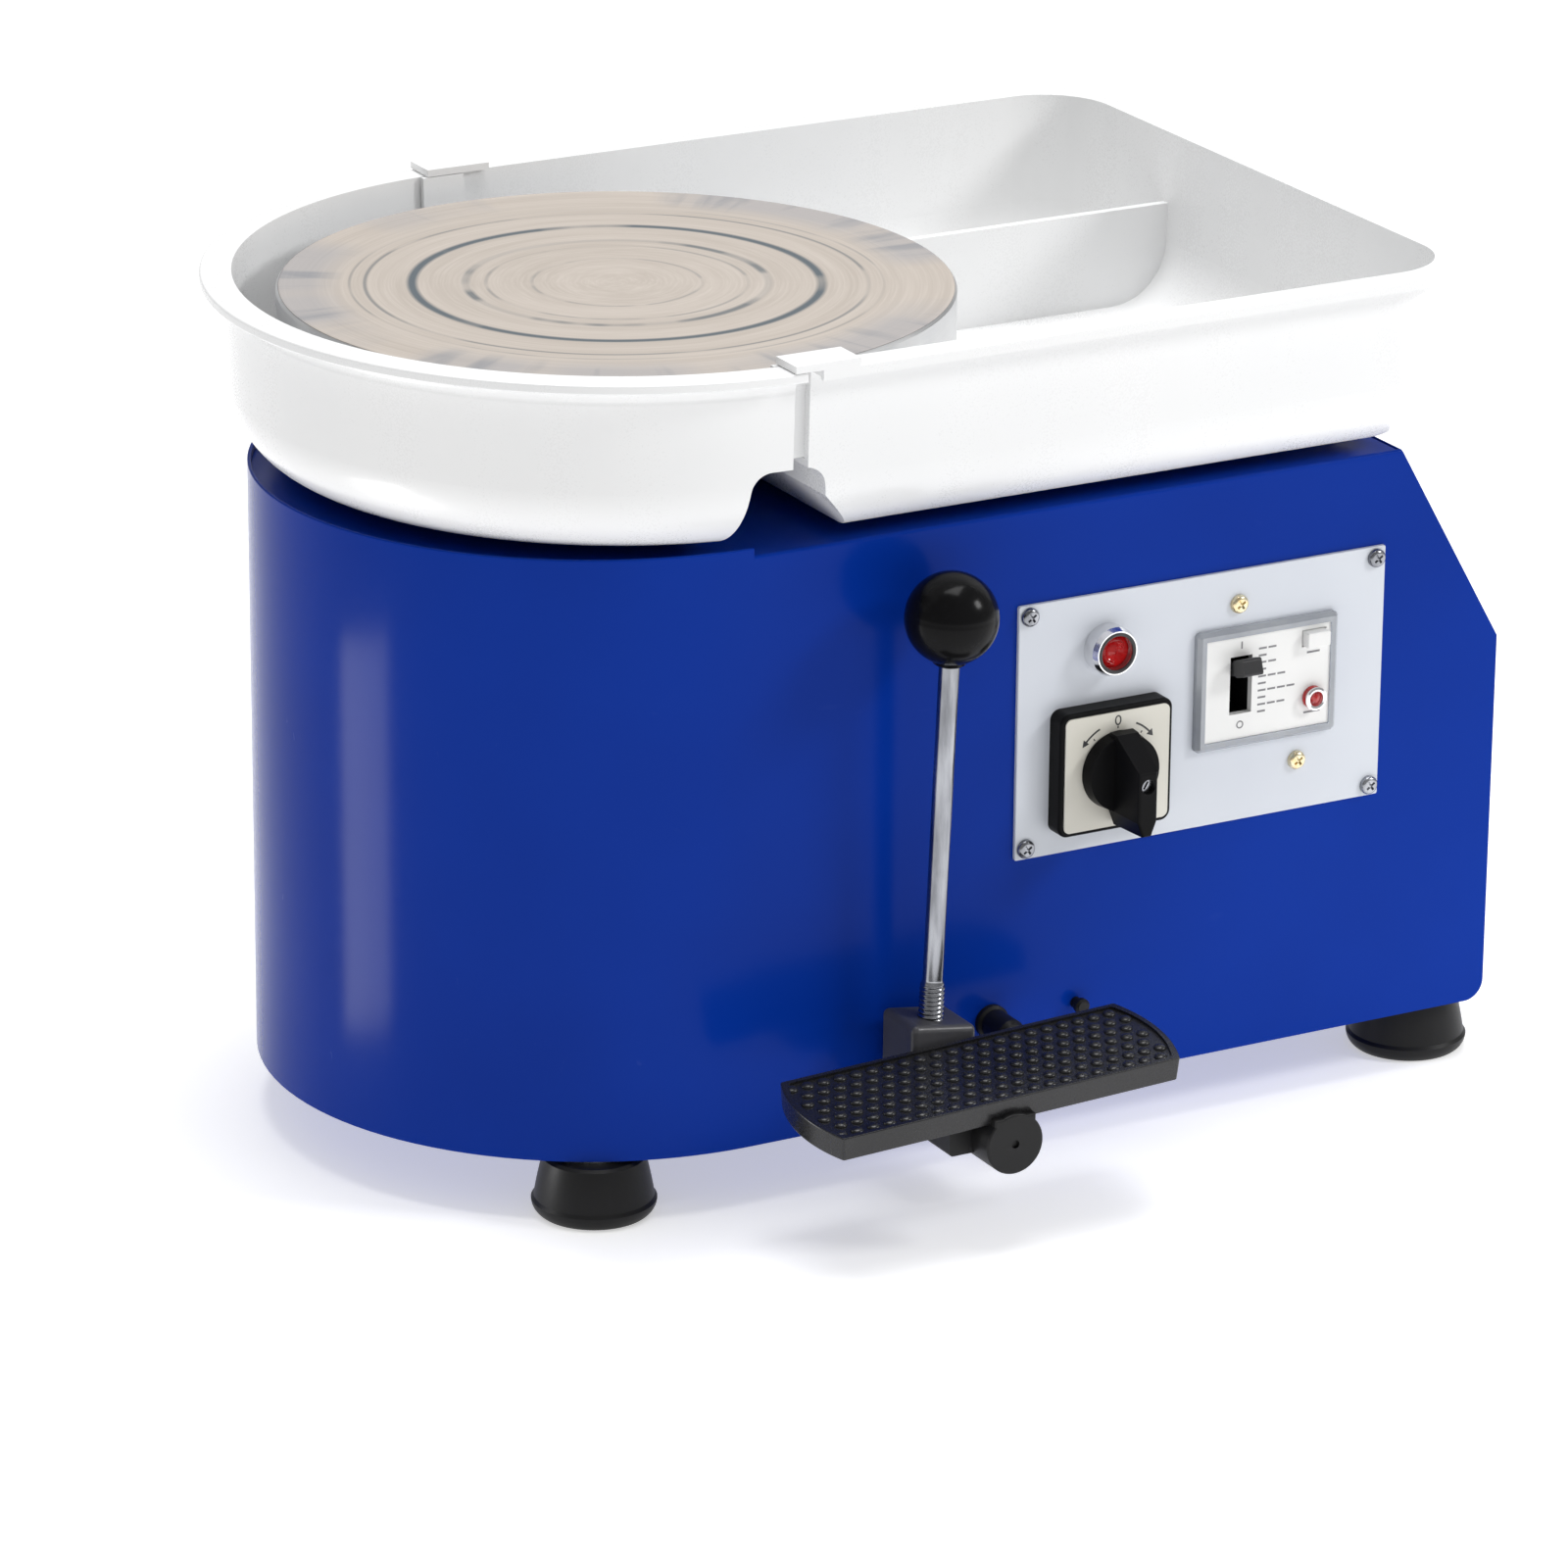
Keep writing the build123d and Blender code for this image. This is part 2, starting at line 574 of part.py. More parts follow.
with BuildPart() as test_button:
    with BuildSketch(facing_front(PANEL_FACE + 2, BUTTON_X, BUTTON_Z)):
        RectangleRounded(10.0, 6.0, 0.8)
    extrude(amount=PANEL_FACE + 2 - BREAKER_FACE + 3.2)
    fillet(test_button.faces().sort_by(Axis.Y)[0].edges(), 0.6)
test_button.part.label = "test_button"
export_step(test_button.part, "parts/test_button.step")

with BuildPart() as breaker_lamp:
    add(turned_forward([(0, PANEL_FACE), (3.4, PANEL_FACE), (3.4, BREAKER_FACE + 0.4),
                        (4.4, BREAKER_FACE + 0.4), (4.2, BREAKER_FACE - 0.6), (2.6, BREAKER_FACE - 0.6),
                        (1.6, BREAKER_FACE - 2.2), (0, BREAKER_FACE - 2.6)], LED_X, LED_Z))
breaker_lamp.part.label = "breaker_lamp"
export_step(breaker_lamp.part, "parts/breaker_lamp.step")

# ---------------------------------------------------------------- spindle, bearings and wheel head
HOUSING_TOP = PLATE_TOP - SHEET
BEARING_RADIUS = 23.5
BEARING_WIDTH = 14.0
LOWER_BEARING = 188.0
UPPER_BEARING = 233.0
with BuildPart() as bearing_housing:
    add(turned([(BEARING_RADIUS, 187), (31, 187), (31, HOUSING_TOP - 12), (36, HOUSING_TOP - 6),
                (54, HOUSING_TOP - 6), (54, HOUSING_TOP), (BEARING_RADIUS, HOUSING_TOP),
                (BEARING_RADIUS, UPPER_BEARING), (19.5, UPPER_BEARING),
                (19.5, LOWER_BEARING + BEARING_WIDTH), (BEARING_RADIUS, LOWER_BEARING + BEARING_WIDTH)]))
    with Locations(level(HOUSING_TOP)):
        with PolarLocations(HOUSING_BOLT_RADIUS, 4, 45):
            Hole(3.3, 7)
bearing_housing.part.label = "bearing_housing"
export_step(bearing_housing.part, "parts/bearing_housing.step")

with BuildPart() as bearings:
    for bottom in (LOWER_BEARING, UPPER_BEARING):
        top = bottom + BEARING_WIDTH
        add(turned([(10.0, bottom), (14.0, bottom), (14.0, top), (10.0, top)]))
        add(turned([(19.5, bottom), (BEARING_RADIUS, bottom), (BEARING_RADIUS, top), (19.5, top)]))
        for edge in (bottom + 0.6, top - 1.4):
            add(turned([(14.0, edge), (19.5, edge), (19.5, edge + 0.8), (14.0, edge + 0.8)]))
        with Locations(level(bottom + BEARING_WIDTH / 2)):
            with PolarLocations(16.75, 9):
                Sphere(2.7)
bearings.part.label = "bearings"
export_step(bearings.part, "parts/bearings.step")

SHAFT_FIT = 9.95
HUB_BOTTOM = 262.0
PULLEY_BOTTOM = PULLEY_Z - PULLEY_WIDTH / 2
with BuildPart() as spindle:
    add(turned([(0, 146), (7.0, 146), (8.0, 147), (8.0, 157), (SHAFT_FIT, 157), (SHAFT_FIT, 203),
                (12.5, 203), (12.5, 232), (SHAFT_FIT, 232), (SHAFT_FIT, 306), (8.5, 308), (0, 308)]))
spindle.part.label = "spindle"
export_step(spindle.part, "parts/spindle.step")

with BuildPart() as spindle_nut:
    with BuildSketch(level(148.0)):
        RegularPolygon(12.0, 6, major_radius=False)
        Circle(8.0, mode=Mode.SUBTRACT)
    extrude(amount=8.8)
spindle_nut.part.label = "spindle_nut"
export_step(spindle_nut.part, "parts/spindle_nut.step")


def pulley_rim(inner, outer, bottom, grooves=5):
    """Outline points of a grooved rim, from its inside round over the V grooves."""
    points = [(inner, bottom), (outer, bottom)]
    pitch = (PULLEY_WIDTH - 3) / grooves
    for groove in range(grooves):
        low = bottom + 1.5 + groove * pitch
        points += [(outer, low + 0.4), (outer - 1.8, low + pitch / 2), (outer, low + pitch - 0.4)]
    return points + [(outer, bottom + PULLEY_WIDTH), (inner, bottom + PULLEY_WIDTH)]


with BuildPart() as driven_pulley:
    add(turned(pulley_rim(PULLEY_RADIUS - 8, PULLEY_RADIUS, PULLEY_BOTTOM)))
    add(turned([(10.0, 157.2), (19, 157.2), (19, 164), (58, 165), (58, 171), (19, 172), (19, 186),
                (10.0, 186)]))
    with Locations(level(180)):
        with PolarLocations(38, 6):
            Hole(11, 30)
driven_pulley.part.label = "driven_pulley"
export_step(driven_pulley.part, "parts/driven_pulley.step")

HEAD_RADIUS = HEAD_DIAMETER / 2
with BuildPart() as wheel_head:
    add(turned([(0, HEAD_TOP), (HEAD_RADIUS - 1.0, HEAD_TOP), (HEAD_RADIUS, HEAD_TOP - 1.0),
                (HEAD_RADIUS, HEAD_TOP - HEAD_SKIRT + 0.6), (HEAD_RADIUS - 0.6, HEAD_TOP - HEAD_SKIRT),
                (HEAD_RADIUS - 6, HEAD_TOP - HEAD_SKIRT), (HEAD_RADIUS - 7, HEAD_TOP - 7),
                (28, HEAD_TOP - 8), (22, HEAD_TOP - 14), (22, HUB_BOTTOM), (10.0, HUB_BOTTOM),
                (10.0, 308.4), (0, 308.4)]))
    with Locations(level(HEAD_TOP - 12)):
        with PolarLocations((HEAD_RADIUS + 15) / 2, 6):
            Box(HEAD_RADIUS - 27, 5, 12)
    with BuildSketch(facing_right(-24, 0, HUB_BOTTOM + 8)):
        Circle(3.0)
    extrude(amount=14, mode=Mode.SUBTRACT)
wheel_head.part.label = "wheel_head"
export_step(wheel_head.part, "parts/wheel_head.step")

with BuildPart() as head_setscrew:
    with BuildSketch(facing_right(-22.2, 0, HUB_BOTTOM + 8)):
        Circle(2.9)
        RegularPolygon(1.6, 6, mode=Mode.SUBTRACT)
    extrude(amount=12.1)
head_setscrew.part.label = "head_setscrew"
export_step(head_setscrew.part, "parts/head_setscrew.step")

# ---------------------------------------------------------------- belt and motor
with BuildSketch(level(PULLEY_Z - 7.5)) as belt_outside:
    Circle(PULLEY_RADIUS + BELT_GAP + BELT_THICKNESS)
    with Locations((MOTOR_X, 0)):
        Circle(MOTOR_PULLEY_RADIUS + BELT_GAP + BELT_THICKNESS)
    make_hull()
with BuildSketch(level(PULLEY_Z - 7.5)) as belt_inside:
    Circle(PULLEY_RADIUS + BELT_GAP)
    with Locations((MOTOR_X, 0)):
        Circle(MOTOR_PULLEY_RADIUS + BELT_GAP)
    make_hull()
with BuildPart() as drive_belt:
    add(belt_outside.sketch)
    extrude(amount=15)
    add(belt_inside.sketch)
    extrude(amount=15, mode=Mode.SUBTRACT)
drive_belt.part.label = "drive_belt"
export_step(drive_belt.part, "parts/drive_belt.step")

MOTOR_RADIUS = 48.0
MOTOR_BOTTOM = 34.0
MOTOR_TOP = 140.0
BRACKET_Z = 144.0
MOTOR_BOLT_RADIUS = 36.0
with BuildPart() as motor_housing:
    add(turned([(44, 44), (MOTOR_RADIUS, 44), (MOTOR_RADIUS, 130), (44, 130)], MOTOR_X))
    with BuildSketch(level(52, MOTOR_X)):
        with PolarLocations(MOTOR_RADIUS + 1.2, 32):
            Rectangle(3.4, 1.6)
    extrude(amount=70)
motor_housing.part.label = "motor_housing"
export_step(motor_housing.part, "parts/motor_housing.step")

with BuildPart() as motor_end_caps:
    add(turned([(5.06, MOTOR_BOTTOM), (14, MOTOR_BOTTOM), (16, 38), (MOTOR_RADIUS, 38), (MOTOR_RADIUS, 44),
                (12, 44), (12, 46), (5.06, 46)], MOTOR_X))
    add(turned([(5.06, 128), (12, 128), (12, 130), (MOTOR_RADIUS, 130), (MOTOR_RADIUS, MOTOR_TOP),
                (5.06, MOTOR_TOP)], MOTOR_X))
motor_end_caps.part.label = "motor_end_caps"
export_step(motor_end_caps.part, "parts/motor_end_caps.step")

with BuildPart() as motor_rotor:
    add(turned([(0, 36), (5, 36), (5, 54), (40, 54), (40, 118), (14, 118), (14, 126), (5, 126), (5, 180),
                (0, 180)], MOTOR_X))
motor_rotor.part.label = "motor_rotor"
export_step(motor_rotor.part, "parts/motor_rotor.step")

with BuildPart() as motor_pulley:
    add(turned(pulley_rim(5.05, MOTOR_PULLEY_RADIUS, PULLEY_BOTTOM), MOTOR_X))
motor_pulley.part.label = "motor_pulley"
export_step(motor_pulley.part, "parts/motor_pulley.step")

LEG_Y = 62.0
with BuildPart() as motor_bracket:
    with BuildSketch(facing_right(MOTOR_X - 52)):
        with Locations((0, BRACKET_Z - 2)):
            Rectangle(2 * LEG_Y, 4)
        for side in (-1, 1):
            with Locations((side * (LEG_Y - 1.5), (BRACKET_Z - 4 + HOUSING_TOP) / 2)):
                Rectangle(3, HOUSING_TOP - BRACKET_Z + 4)
            with Locations((side * (LEG_Y + 9), HOUSING_TOP - 1.5)):
                Rectangle(20, 3)
    extrude(amount=104)
    with Locations(level(BRACKET_Z, MOTOR_X)):
        Hole(20, 4)
        with PolarLocations(MOTOR_BOLT_RADIUS, 4, 45):
            Hole(3.2, 4)
motor_bracket.part.label = "motor_bracket"
export_step(motor_bracket.part, "parts/motor_bracket.step")

# Four bolts hang the bearing housing from the top plate and four hold the motor to its bracket.
with BuildPart() as drive_bolts:
    with BuildSketch(level(PLATE_TOP)):
        with PolarLocations(HOUSING_BOLT_RADIUS, 4, 45):
            Circle(5.2)
    extrude(amount=2.8)
    with BuildSketch(level(HOUSING_TOP - 14)):
        with PolarLocations(HOUSING_BOLT_RADIUS, 4, 45):
            Circle(3.0)
    extrude(amount=14 + SHEET)
    with BuildSketch(level(HOUSING_TOP - 11)):
        with PolarLocations(HOUSING_BOLT_RADIUS, 4, 45):
            RegularPolygon(5.0, 6, major_radius=False)
    extrude(amount=4.9)
    with BuildSketch(level(BRACKET_Z, MOTOR_X)):
        with PolarLocations(MOTOR_BOLT_RADIUS, 4, 45):
            RegularPolygon(5.0, 6, major_radius=False)
    extrude(amount=4)
drive_bolts.part.label = "drive_bolts"
export_step(drive_bolts.part, "parts/drive_bolts.step")

with BuildPart() as controller_box:
    with BuildSketch(level(SHELL_BOTTOM, 255, 40)):
        RectangleRounded(66, 84, 3)
    extrude(amount=62)
    with BuildSketch(level(SHELL_BOTTOM + 62, 255, 40)):
        with GridLocations(0, 9, 1, 9):
            Rectangle(62, 2.4)
    extrude(amount=14)
controller_box.part.label = "controller_box"
export_step(controller_box.part, "parts/controller_box.step")

# ---------------------------------------------------------------- foot pedal and hand lever
BRACKET_Y = -86.0
with BuildPart() as shaft_bracket:
    with BuildSketch(facing_front(BRACKET_Y + 3, SHAFT_X)):
        with Locations((0, (SHELL_BOTTOM + 100) / 2)):
            Rectangle(44, 100 - SHELL_BOTTOM)
        with Locations((0, SHAFT_Z)):
            Circle(8.6, mode=Mode.SUBTRACT)
        with Locations((0, PINION_Z)):
            Circle(3.7, mode=Mode.SUBTRACT)
    extrude(amount=3)
    with BuildSketch(level(SHELL_BOTTOM, SHAFT_X, BRACKET_Y + 13)):
        Rectangle(44, 20)
    extrude(amount=3)
shaft_bracket.part.label = "shaft_bracket"
export_step(shaft_bracket.part, "parts/shaft_bracket.step")

BUSH_BORE = SHAFT_RADIUS + 0.06
with BuildPart() as shaft_bushes:
    add(turned_forward([(BUSH_BORE, FRONT - 2.5), (11.5, FRONT - 2.5), (11.5, FRONT), (8.8, FRONT),
                        (8.8, FRONT + 9), (BUSH_BORE, FRONT + 9)], SHAFT_X, SHAFT_Z))
    add(turned_forward([(BUSH_BORE, BRACKET_Y - 2), (11.0, BRACKET_Y - 2), (11.0, BRACKET_Y),
                        (8.5, BRACKET_Y), (8.5, BRACKET_Y + 7), (BUSH_BORE, BRACKET_Y + 7)],
                       SHAFT_X, SHAFT_Z))
shaft_bushes.part.label = "shaft_bushes"
export_step(shaft_bushes.part, "parts/shaft_bushes.step")

with BuildPart() as control_shaft:
    add(turned_forward([(0, HUB_FRONT + 8), (SHAFT_RADIUS, HUB_FRONT + 8), (SHAFT_RADIUS, BRACKET_Y + 12),
                        (0, BRACKET_Y + 12)], SHAFT_X, SHAFT_Z))
control_shaft.part.label = "control_shaft"
export_step(control_shaft.part, "parts/control_shaft.step")

with BuildPart() as sector_gear:
    with BuildSketch(facing_front(GEAR_Y + GEAR_WIDTH / 2, SHAFT_X, SHAFT_Z)):
        add(gear_outline(SECTOR_TEETH, pi / 2))
        with BuildLine():
            Polyline((0, -4), (38, 26), (38, -60), (-38, -60), (-38, 26), close=True)
        make_face(mode=Mode.SUBTRACT)
        Circle(12)
        Circle(SHAFT_RADIUS + 0.05, mode=Mode.SUBTRACT)
        with Locations((0, 20)):
            Circle(4, mode=Mode.SUBTRACT)
    extrude(amount=GEAR_WIDTH)
sector_gear.part.label = "sector_gear"
export_step(sector_gear.part, "parts/sector_gear.step")

with BuildPart() as potentiometer:
    add(turned_forward([(3.06, BRACKET_Y), (3.6, BRACKET_Y), (3.6, BRACKET_Y + 3), (12, BRACKET_Y + 3),
                        (12, BRACKET_Y + 15), (3.06, BRACKET_Y + 15)], SHAFT_X, PINION_Z))
potentiometer.part.label = "potentiometer"
export_step(potentiometer.part, "parts/potentiometer.step")

with BuildPart() as potentiometer_gear:
    with BuildSketch(facing_front(GEAR_Y + GEAR_WIDTH / 2, SHAFT_X, PINION_Z)):
        add(gear_outline(PINION_TEETH, -pi / 2 + pi / PINION_TEETH))
    extrude(amount=GEAR_WIDTH)
    add(turned_forward([(0, GEAR_Y), (3.0, GEAR_Y), (3.0, BRACKET_Y + 13), (0, BRACKET_Y + 13)],
                       SHAFT_X, PINION_Z))
potentiometer_gear.part.label = "potentiometer_gear"
export_step(potentiometer_gear.part, "parts/potentiometer_gear.step")

BLOCK_BACK = FRONT - 5.0
BLOCK_DEPTH = 24.0
rod_axis = Vector(*BALL_CENTRE) - Vector(*ROD_FOOT)
rod_place = Vector(SPINDLE_X, SPINDLE_Y, 0) + Vector(*ROD_FOOT)
rod_plane = Plane(rod_place, z_dir=rod_axis)
ROD_LENGTH = rod_axis.length
with BuildPart() as lever_block:
    with BuildSketch(facing_front(BLOCK_BACK, SHAFT_X)):
        with BuildLine():
            Polyline((-13.6, 30), (13.2, 30), (13.4, 67.5), (-13.4, 71.5), close=True)
        make_face()
    extrude(amount=BLOCK_DEPTH)
    fillet(lever_block.edges(), 2.4)
    with BuildSketch(facing_front(BLOCK_BACK, SHAFT_X, SHAFT_Z)):
        Circle(SHAFT_RADIUS + 0.05)
    extrude(amount=BLOCK_DEPTH, mode=Mode.SUBTRACT)
    with BuildSketch(rod_plane.offset(-8)):
        Circle(4.85)
    extrude(amount=20, mode=Mode.SUBTRACT)
lever_block.part.label = "lever_block"
export_step(lever_block.part, "parts/lever_block.step")

with BuildPart() as lever_rod:
    with BuildSketch(rod_plane.offset(-7)):
        Circle(4.8)
    extrude(amount=25)
    chamfer(lever_rod.edges().sort_by(Axis.Z)[-1], 0.8)
    with BuildSketch(rod_plane.offset(17)):
        Circle(3.8)
    extrude(amount=ROD_LENGTH - 17 - 4)
lever_rod.part.label = "lever_rod"
export_step(lever_rod.part, "parts/lever_rod.step")

with BuildPart() as ball_knob:
    with Locations(rod_plane.offset(ROD_LENGTH)):
        Sphere(BALL_RADIUS)
    with BuildSketch(rod_plane.offset(ROD_LENGTH - BALL_RADIUS - 0.4)):
        Circle(6.4)
    extrude(amount=3)
    with BuildSketch(rod_plane.offset(ROD_LENGTH - BALL_RADIUS - 1)):
        Circle(3.85)
    extrude(amount=BALL_RADIUS - 3 + 1, mode=Mode.SUBTRACT)
ball_knob.part.label = "ball_knob"
export_step(ball_knob.part, "parts/ball_knob.step")

with BuildPart() as pedal_hub:
    with BuildSketch(facing_front(HUB_FRONT + 46, SHAFT_X, SHAFT_Z)):
        Circle(HUB_RADIUS)
        with Locations((0, 5)):
            Rectangle(17, 11)
    extrude(amount=46)
    fillet(pedal_hub.faces().sort_by(Axis.Y)[0].outer_wire().edges(), 0.8)
    with BuildSketch(facing_front(HUB_FRONT + 38, SHAFT_X - 14, SHAFT_Z + 1)):
        RectangleRounded(13, 13, 1.5)
    extrude(amount=26)
    with BuildSketch(facing_front(HUB_FRONT + 50, SHAFT_X, SHAFT_Z)):
        Circle(SHAFT_RADIUS + 0.05)
    extrude(amount=42, mode=Mode.SUBTRACT)
    with BuildSketch(facing_front(HUB_FRONT, SHAFT_X, SHAFT_Z)):
        Circle(1.6)
    extrude(amount=-1.2, mode=Mode.SUBTRACT)
pedal_hub.part.label = "pedal_hub"
export_step(pedal_hub.part, "parts/pedal_hub.step")

# The pedal's plate leans with its right end up and its front edge down.
pedal_place = Location((SPINDLE_X + SHAFT_X, SPINDLE_Y + PEDAL_Y, PEDAL_TOP), (PEDAL_PITCH, -PEDAL_TILT, 0))
pedal_plane = Plane(pedal_place)
PEDAL_BULGE = 5.0
PEDAL_RIM = 2.2


def pedal_outline(inset=0.0):
    """The sketch of the pedal's plan: a bar whose short ends bow outwards."""
    half, depth = PEDAL_LENGTH / 2 - inset, PEDAL_WIDTH / 2 - inset
    with BuildSketch() as outline:
        with BuildLine():
            Line((-half, -depth), (half, -depth))
            ThreePointArc((half, -depth), (half + PEDAL_BULGE, 0), (half, depth))
            Line((half, depth), (-half, depth))
            ThreePointArc((-half, depth), (-half - PEDAL_BULGE, 0), (-half, -depth))
        make_face()
        fillet(outline.vertices(), 1.2)
    return outline.sketch


with BuildPart() as pedal:
    with BuildSketch(pedal_plane.offset(-PEDAL_THICKNESS)):
        add(pedal_outline(0.6))
    with BuildSketch(pedal_plane):
        add(pedal_outline())
    loft()
    fillet(pedal.faces().sort_by(Axis.Z)[-1].edges(), 0.5)
    with BuildSketch(pedal_plane.offset(-1.0)):
        add(pedal_outline(PEDAL_RIM))
    extrude(amount=3, mode=Mode.SUBTRACT)
    add(pedal_hub.part, mode=Mode.SUBTRACT)
pedal.part.label = "pedal"
export_step(pedal.part, "parts/pedal.step")

# A rubber bumper and a small knob on the front sheet stop the pedal's right end.
with BuildPart() as pedal_stops:
    add(turned_forward([(0, FRONT + 8), (3.1, FRONT + 8), (3.1, FRONT), (6.6, FRONT), (6.6, FRONT - 2),
                        (5.6, FRONT - 3), (5.6, FRONT - 15), (4.4, FRONT - 17), (0, FRONT - 17)],
                       BUMPER_X, BUMPER_Z))
    add(turned_forward([(0, FRONT + 9), (2.1, FRONT + 9), (2.1, FRONT - 3.6), (3.0, FRONT - 3.6),
                        (3.0, FRONT - 5.4), (2.2, FRONT - 6.4), (0, FRONT - 6.4)], STUD_X, STUD_Z))
pedal_stops.part.label = "pedal_stops"
export_step(pedal_stops.part, "parts/pedal_stops.step")

# ---------------------------------------------------------------- splash pan
SEAM_LEFT = -4.0
SEAM_RIGHT = 2.0
TONGUE_REACH = 11.0
RIM_PLATE = 2.4
LIP_DROP = 3.6
SPOUT_RADIUS = 25.0
DRAFT = degrees(atan((PAN_WALL_RIM - PAN_WALL_FLOOR) / (RIM_TOP - PAN_FLOOR)))
DIVIDER_Y = 66.0
DIVIDER_LEFT = 130.0
DIVIDER_DROP = 28.0


def round_block(inset=0.0):
    """The round half's filled form below the rim, its walls inset."""
    with BuildPart() as block:
        with BuildSketch(facing_front(0)):
            with BuildLine():
                Polyline((0, PAN_FLOOR + inset), (PAN_WALL_FLOOR - inset, PAN_FLOOR + inset),
                         (PAN_WALL_RIM - inset, RIM_TOP), (0, RIM_TOP), close=True)
            face = make_face()
            fillet(face.vertices().group_by(Axis.Y)[0].sort_by(Axis.X)[-1], PAN_FILLET - inset)
        revolve(axis=upright_axis())
    return block.part


def round_rim():
    """The round half's rim: a plate with a turned-down lip and a hollow curve under it."""
    lip = RIM_RADIUS - 2.0
    under = RIM_TOP - RIM_PLATE
    with BuildPart() as rim:
        with BuildSketch(facing_front(0)):
            with BuildLine():
                Polyline((PAN_WALL_RIM - 1.5, under - 8), (PAN_WALL_RIM - 0.3, under - 8))
                ThreePointArc((PAN_WALL_RIM - 0.3, under - 8), (PAN_WALL_RIM + 1.8, under - 2),
                              (lip - 0.2, under))
                Polyline((lip - 0.2, under), (lip, RIM_TOP - LIP_DROP), (RIM_RADIUS, RIM_TOP - LIP_DROP),
                         (RIM_RADIUS, RIM_TOP), (PAN_WALL_RIM - 1.5, RIM_TOP),
                         (PAN_WALL_RIM - 1.5, under - 8))
            face = make_face()
            fillet(face.vertices().group_by(Axis.X)[-1], 0.8)
        revolve(axis=upright_axis())
    return rim.part


def square_plan(half, corner):
    """The sketch of the square half's plan, running on past the seam."""
    right = PAN_RIGHT - RIM_RADIUS + half
    with BuildSketch() as plan:
        with Locations((right / 2 - 30, 0)):
            Rectangle(right + 60, 2 * half)
        fillet(plan.vertices().group_by(Axis.X)[-1], corner)
    return plan.sketch


def square_block(inset=0.0):
    """The square half's filled form below the rim, its walls inset."""
    with BuildPart() as block:
        with BuildSketch(level(PAN_FLOOR + inset)):
            add(square_plan(PAN_WALL_FLOOR - inset, PAN_CORNER - inset))
        extrude(amount=RIM_TOP - PAN_FLOOR - inset, taper=-DRAFT)
        floor = block.faces().sort_by(Axis.Z)[0]
        seam = block.faces().sort_by(Axis.X)[0].edges()
        fillet([e for e in floor.edges() if e not in seam], PAN_FILLET - inset)
    return block.part


def across(points, grow=0.0):
    """A closed outline of (x, height) points run right across the pan from front to back."""
    with BuildPart() as run:
        with BuildSketch(facing_front(RIM_RADIUS + 5)):
            with BuildLine():
                Polyline(*points, close=True)
            face = make_face()
            fillet(face.vertices().group_by(Axis.Y)[-1], 8)
            if grow:
                offset(amount=grow)
        extrude(amount=2 * RIM_RADIUS + 10)
    return run.part


def ridge(grow=0.0):
    """The raised bridge under the seam, with the round boss that the hub passes through."""
    run = across([(-24, PAN_FLOOR - 20), (-23, PAN_FLOOR), (-19, PAN_FLOOR + RIDGE_HEIGHT),
                  (8, PAN_FLOOR + RIDGE_HEIGHT), (10, PAN_FLOOR + RIDGE_SHOULDER),
                  (28, PAN_FLOOR), (28, PAN_FLOOR - 20)], grow)
    with BuildPart() as whole:
        add(run)
        with BuildSketch(level(PAN_FLOOR - 20)):
            Circle(SPOUT_RADIUS + 5 + grow)
        extrude(amount=20 + RIDGE_HEIGHT + grow)
    return whole.part


def slab(left, right, bottom, top, half=RIM_RADIUS + 10):
    """A plain block between two x values and two heights."""
    with BuildPart() as block:
        with BuildSketch(level(bottom, (left + right) / 2)):
            Rectangle(right - left, 2 * half)
        extrude(amount=top - bottom)
    return block.part


hollow_under = ridge()
ridge_over = ridge(PAN_WALL)
with BuildPart() as spout:
    with BuildSketch(level(PAN_FLOOR - 5)):
        Circle(SPOUT_RADIUS)
    extrude(amount=60)

round_cavity = round_block(PAN_WALL) - ridge_over
with BuildPart() as splash_pan_left:
    add(round_block())
    add(round_rim())
    add(hollow_under, mode=Mode.SUBTRACT)
    add(round_cavity, mode=Mode.SUBTRACT)
    add(spout.part, mode=Mode.SUBTRACT)
    split(bisect_by=facing_right(SEAM_LEFT), keep=Keep.BOTTOM)
splash_pan_left.part.label = "splash_pan_left"
export_step(splash_pan_left.part, "parts/splash_pan_left.step")

RIM_CORNER = PAN_CORNER + RIM_RADIUS - PAN_WALL_FLOOR
with BuildPart() as square_rim:
    with BuildSketch(level(RIM_TOP - RIM_PLATE)):
        add(square_plan(RIM_RADIUS, RIM_CORNER))
    extrude(amount=RIM_PLATE)
    with BuildSketch(level(RIM_TOP - LIP_DROP)):
        add(square_plan(RIM_RADIUS, RIM_CORNER))
        add(square_plan(RIM_RADIUS - 2, RIM_CORNER - 2), mode=Mode.SUBTRACT)
    extrude(amount=LIP_DROP - RIM_PLATE)

# The square half hooks over the round one: a tongue lies inside its wall and a cap on its rim.
TONGUE_GAP = 0.9
TONGUE = 2.2
TONGUE_FLOOR = PAN_FLOOR + RIDGE_HEIGHT + PAN_WALL + 0.4
tongue_out = PAN_WALL + TONGUE_GAP
tongue_in = tongue_out + TONGUE
tongue_band = square_block(tongue_out) - square_block(tongue_in)
tongue_root = square_block(PAN_WALL - 0.2) - square_block(tongue_in)
divider_form = square_block(PAN_WALL - 0.3)

with BuildPart() as divider_wall:
    with BuildSketch(level(PAN_FLOOR, 200, DIVIDER_Y)):
        Rectangle(300, 4.2)
    extrude(amount=RIM_TOP - PAN_FLOOR, taper=0.6)

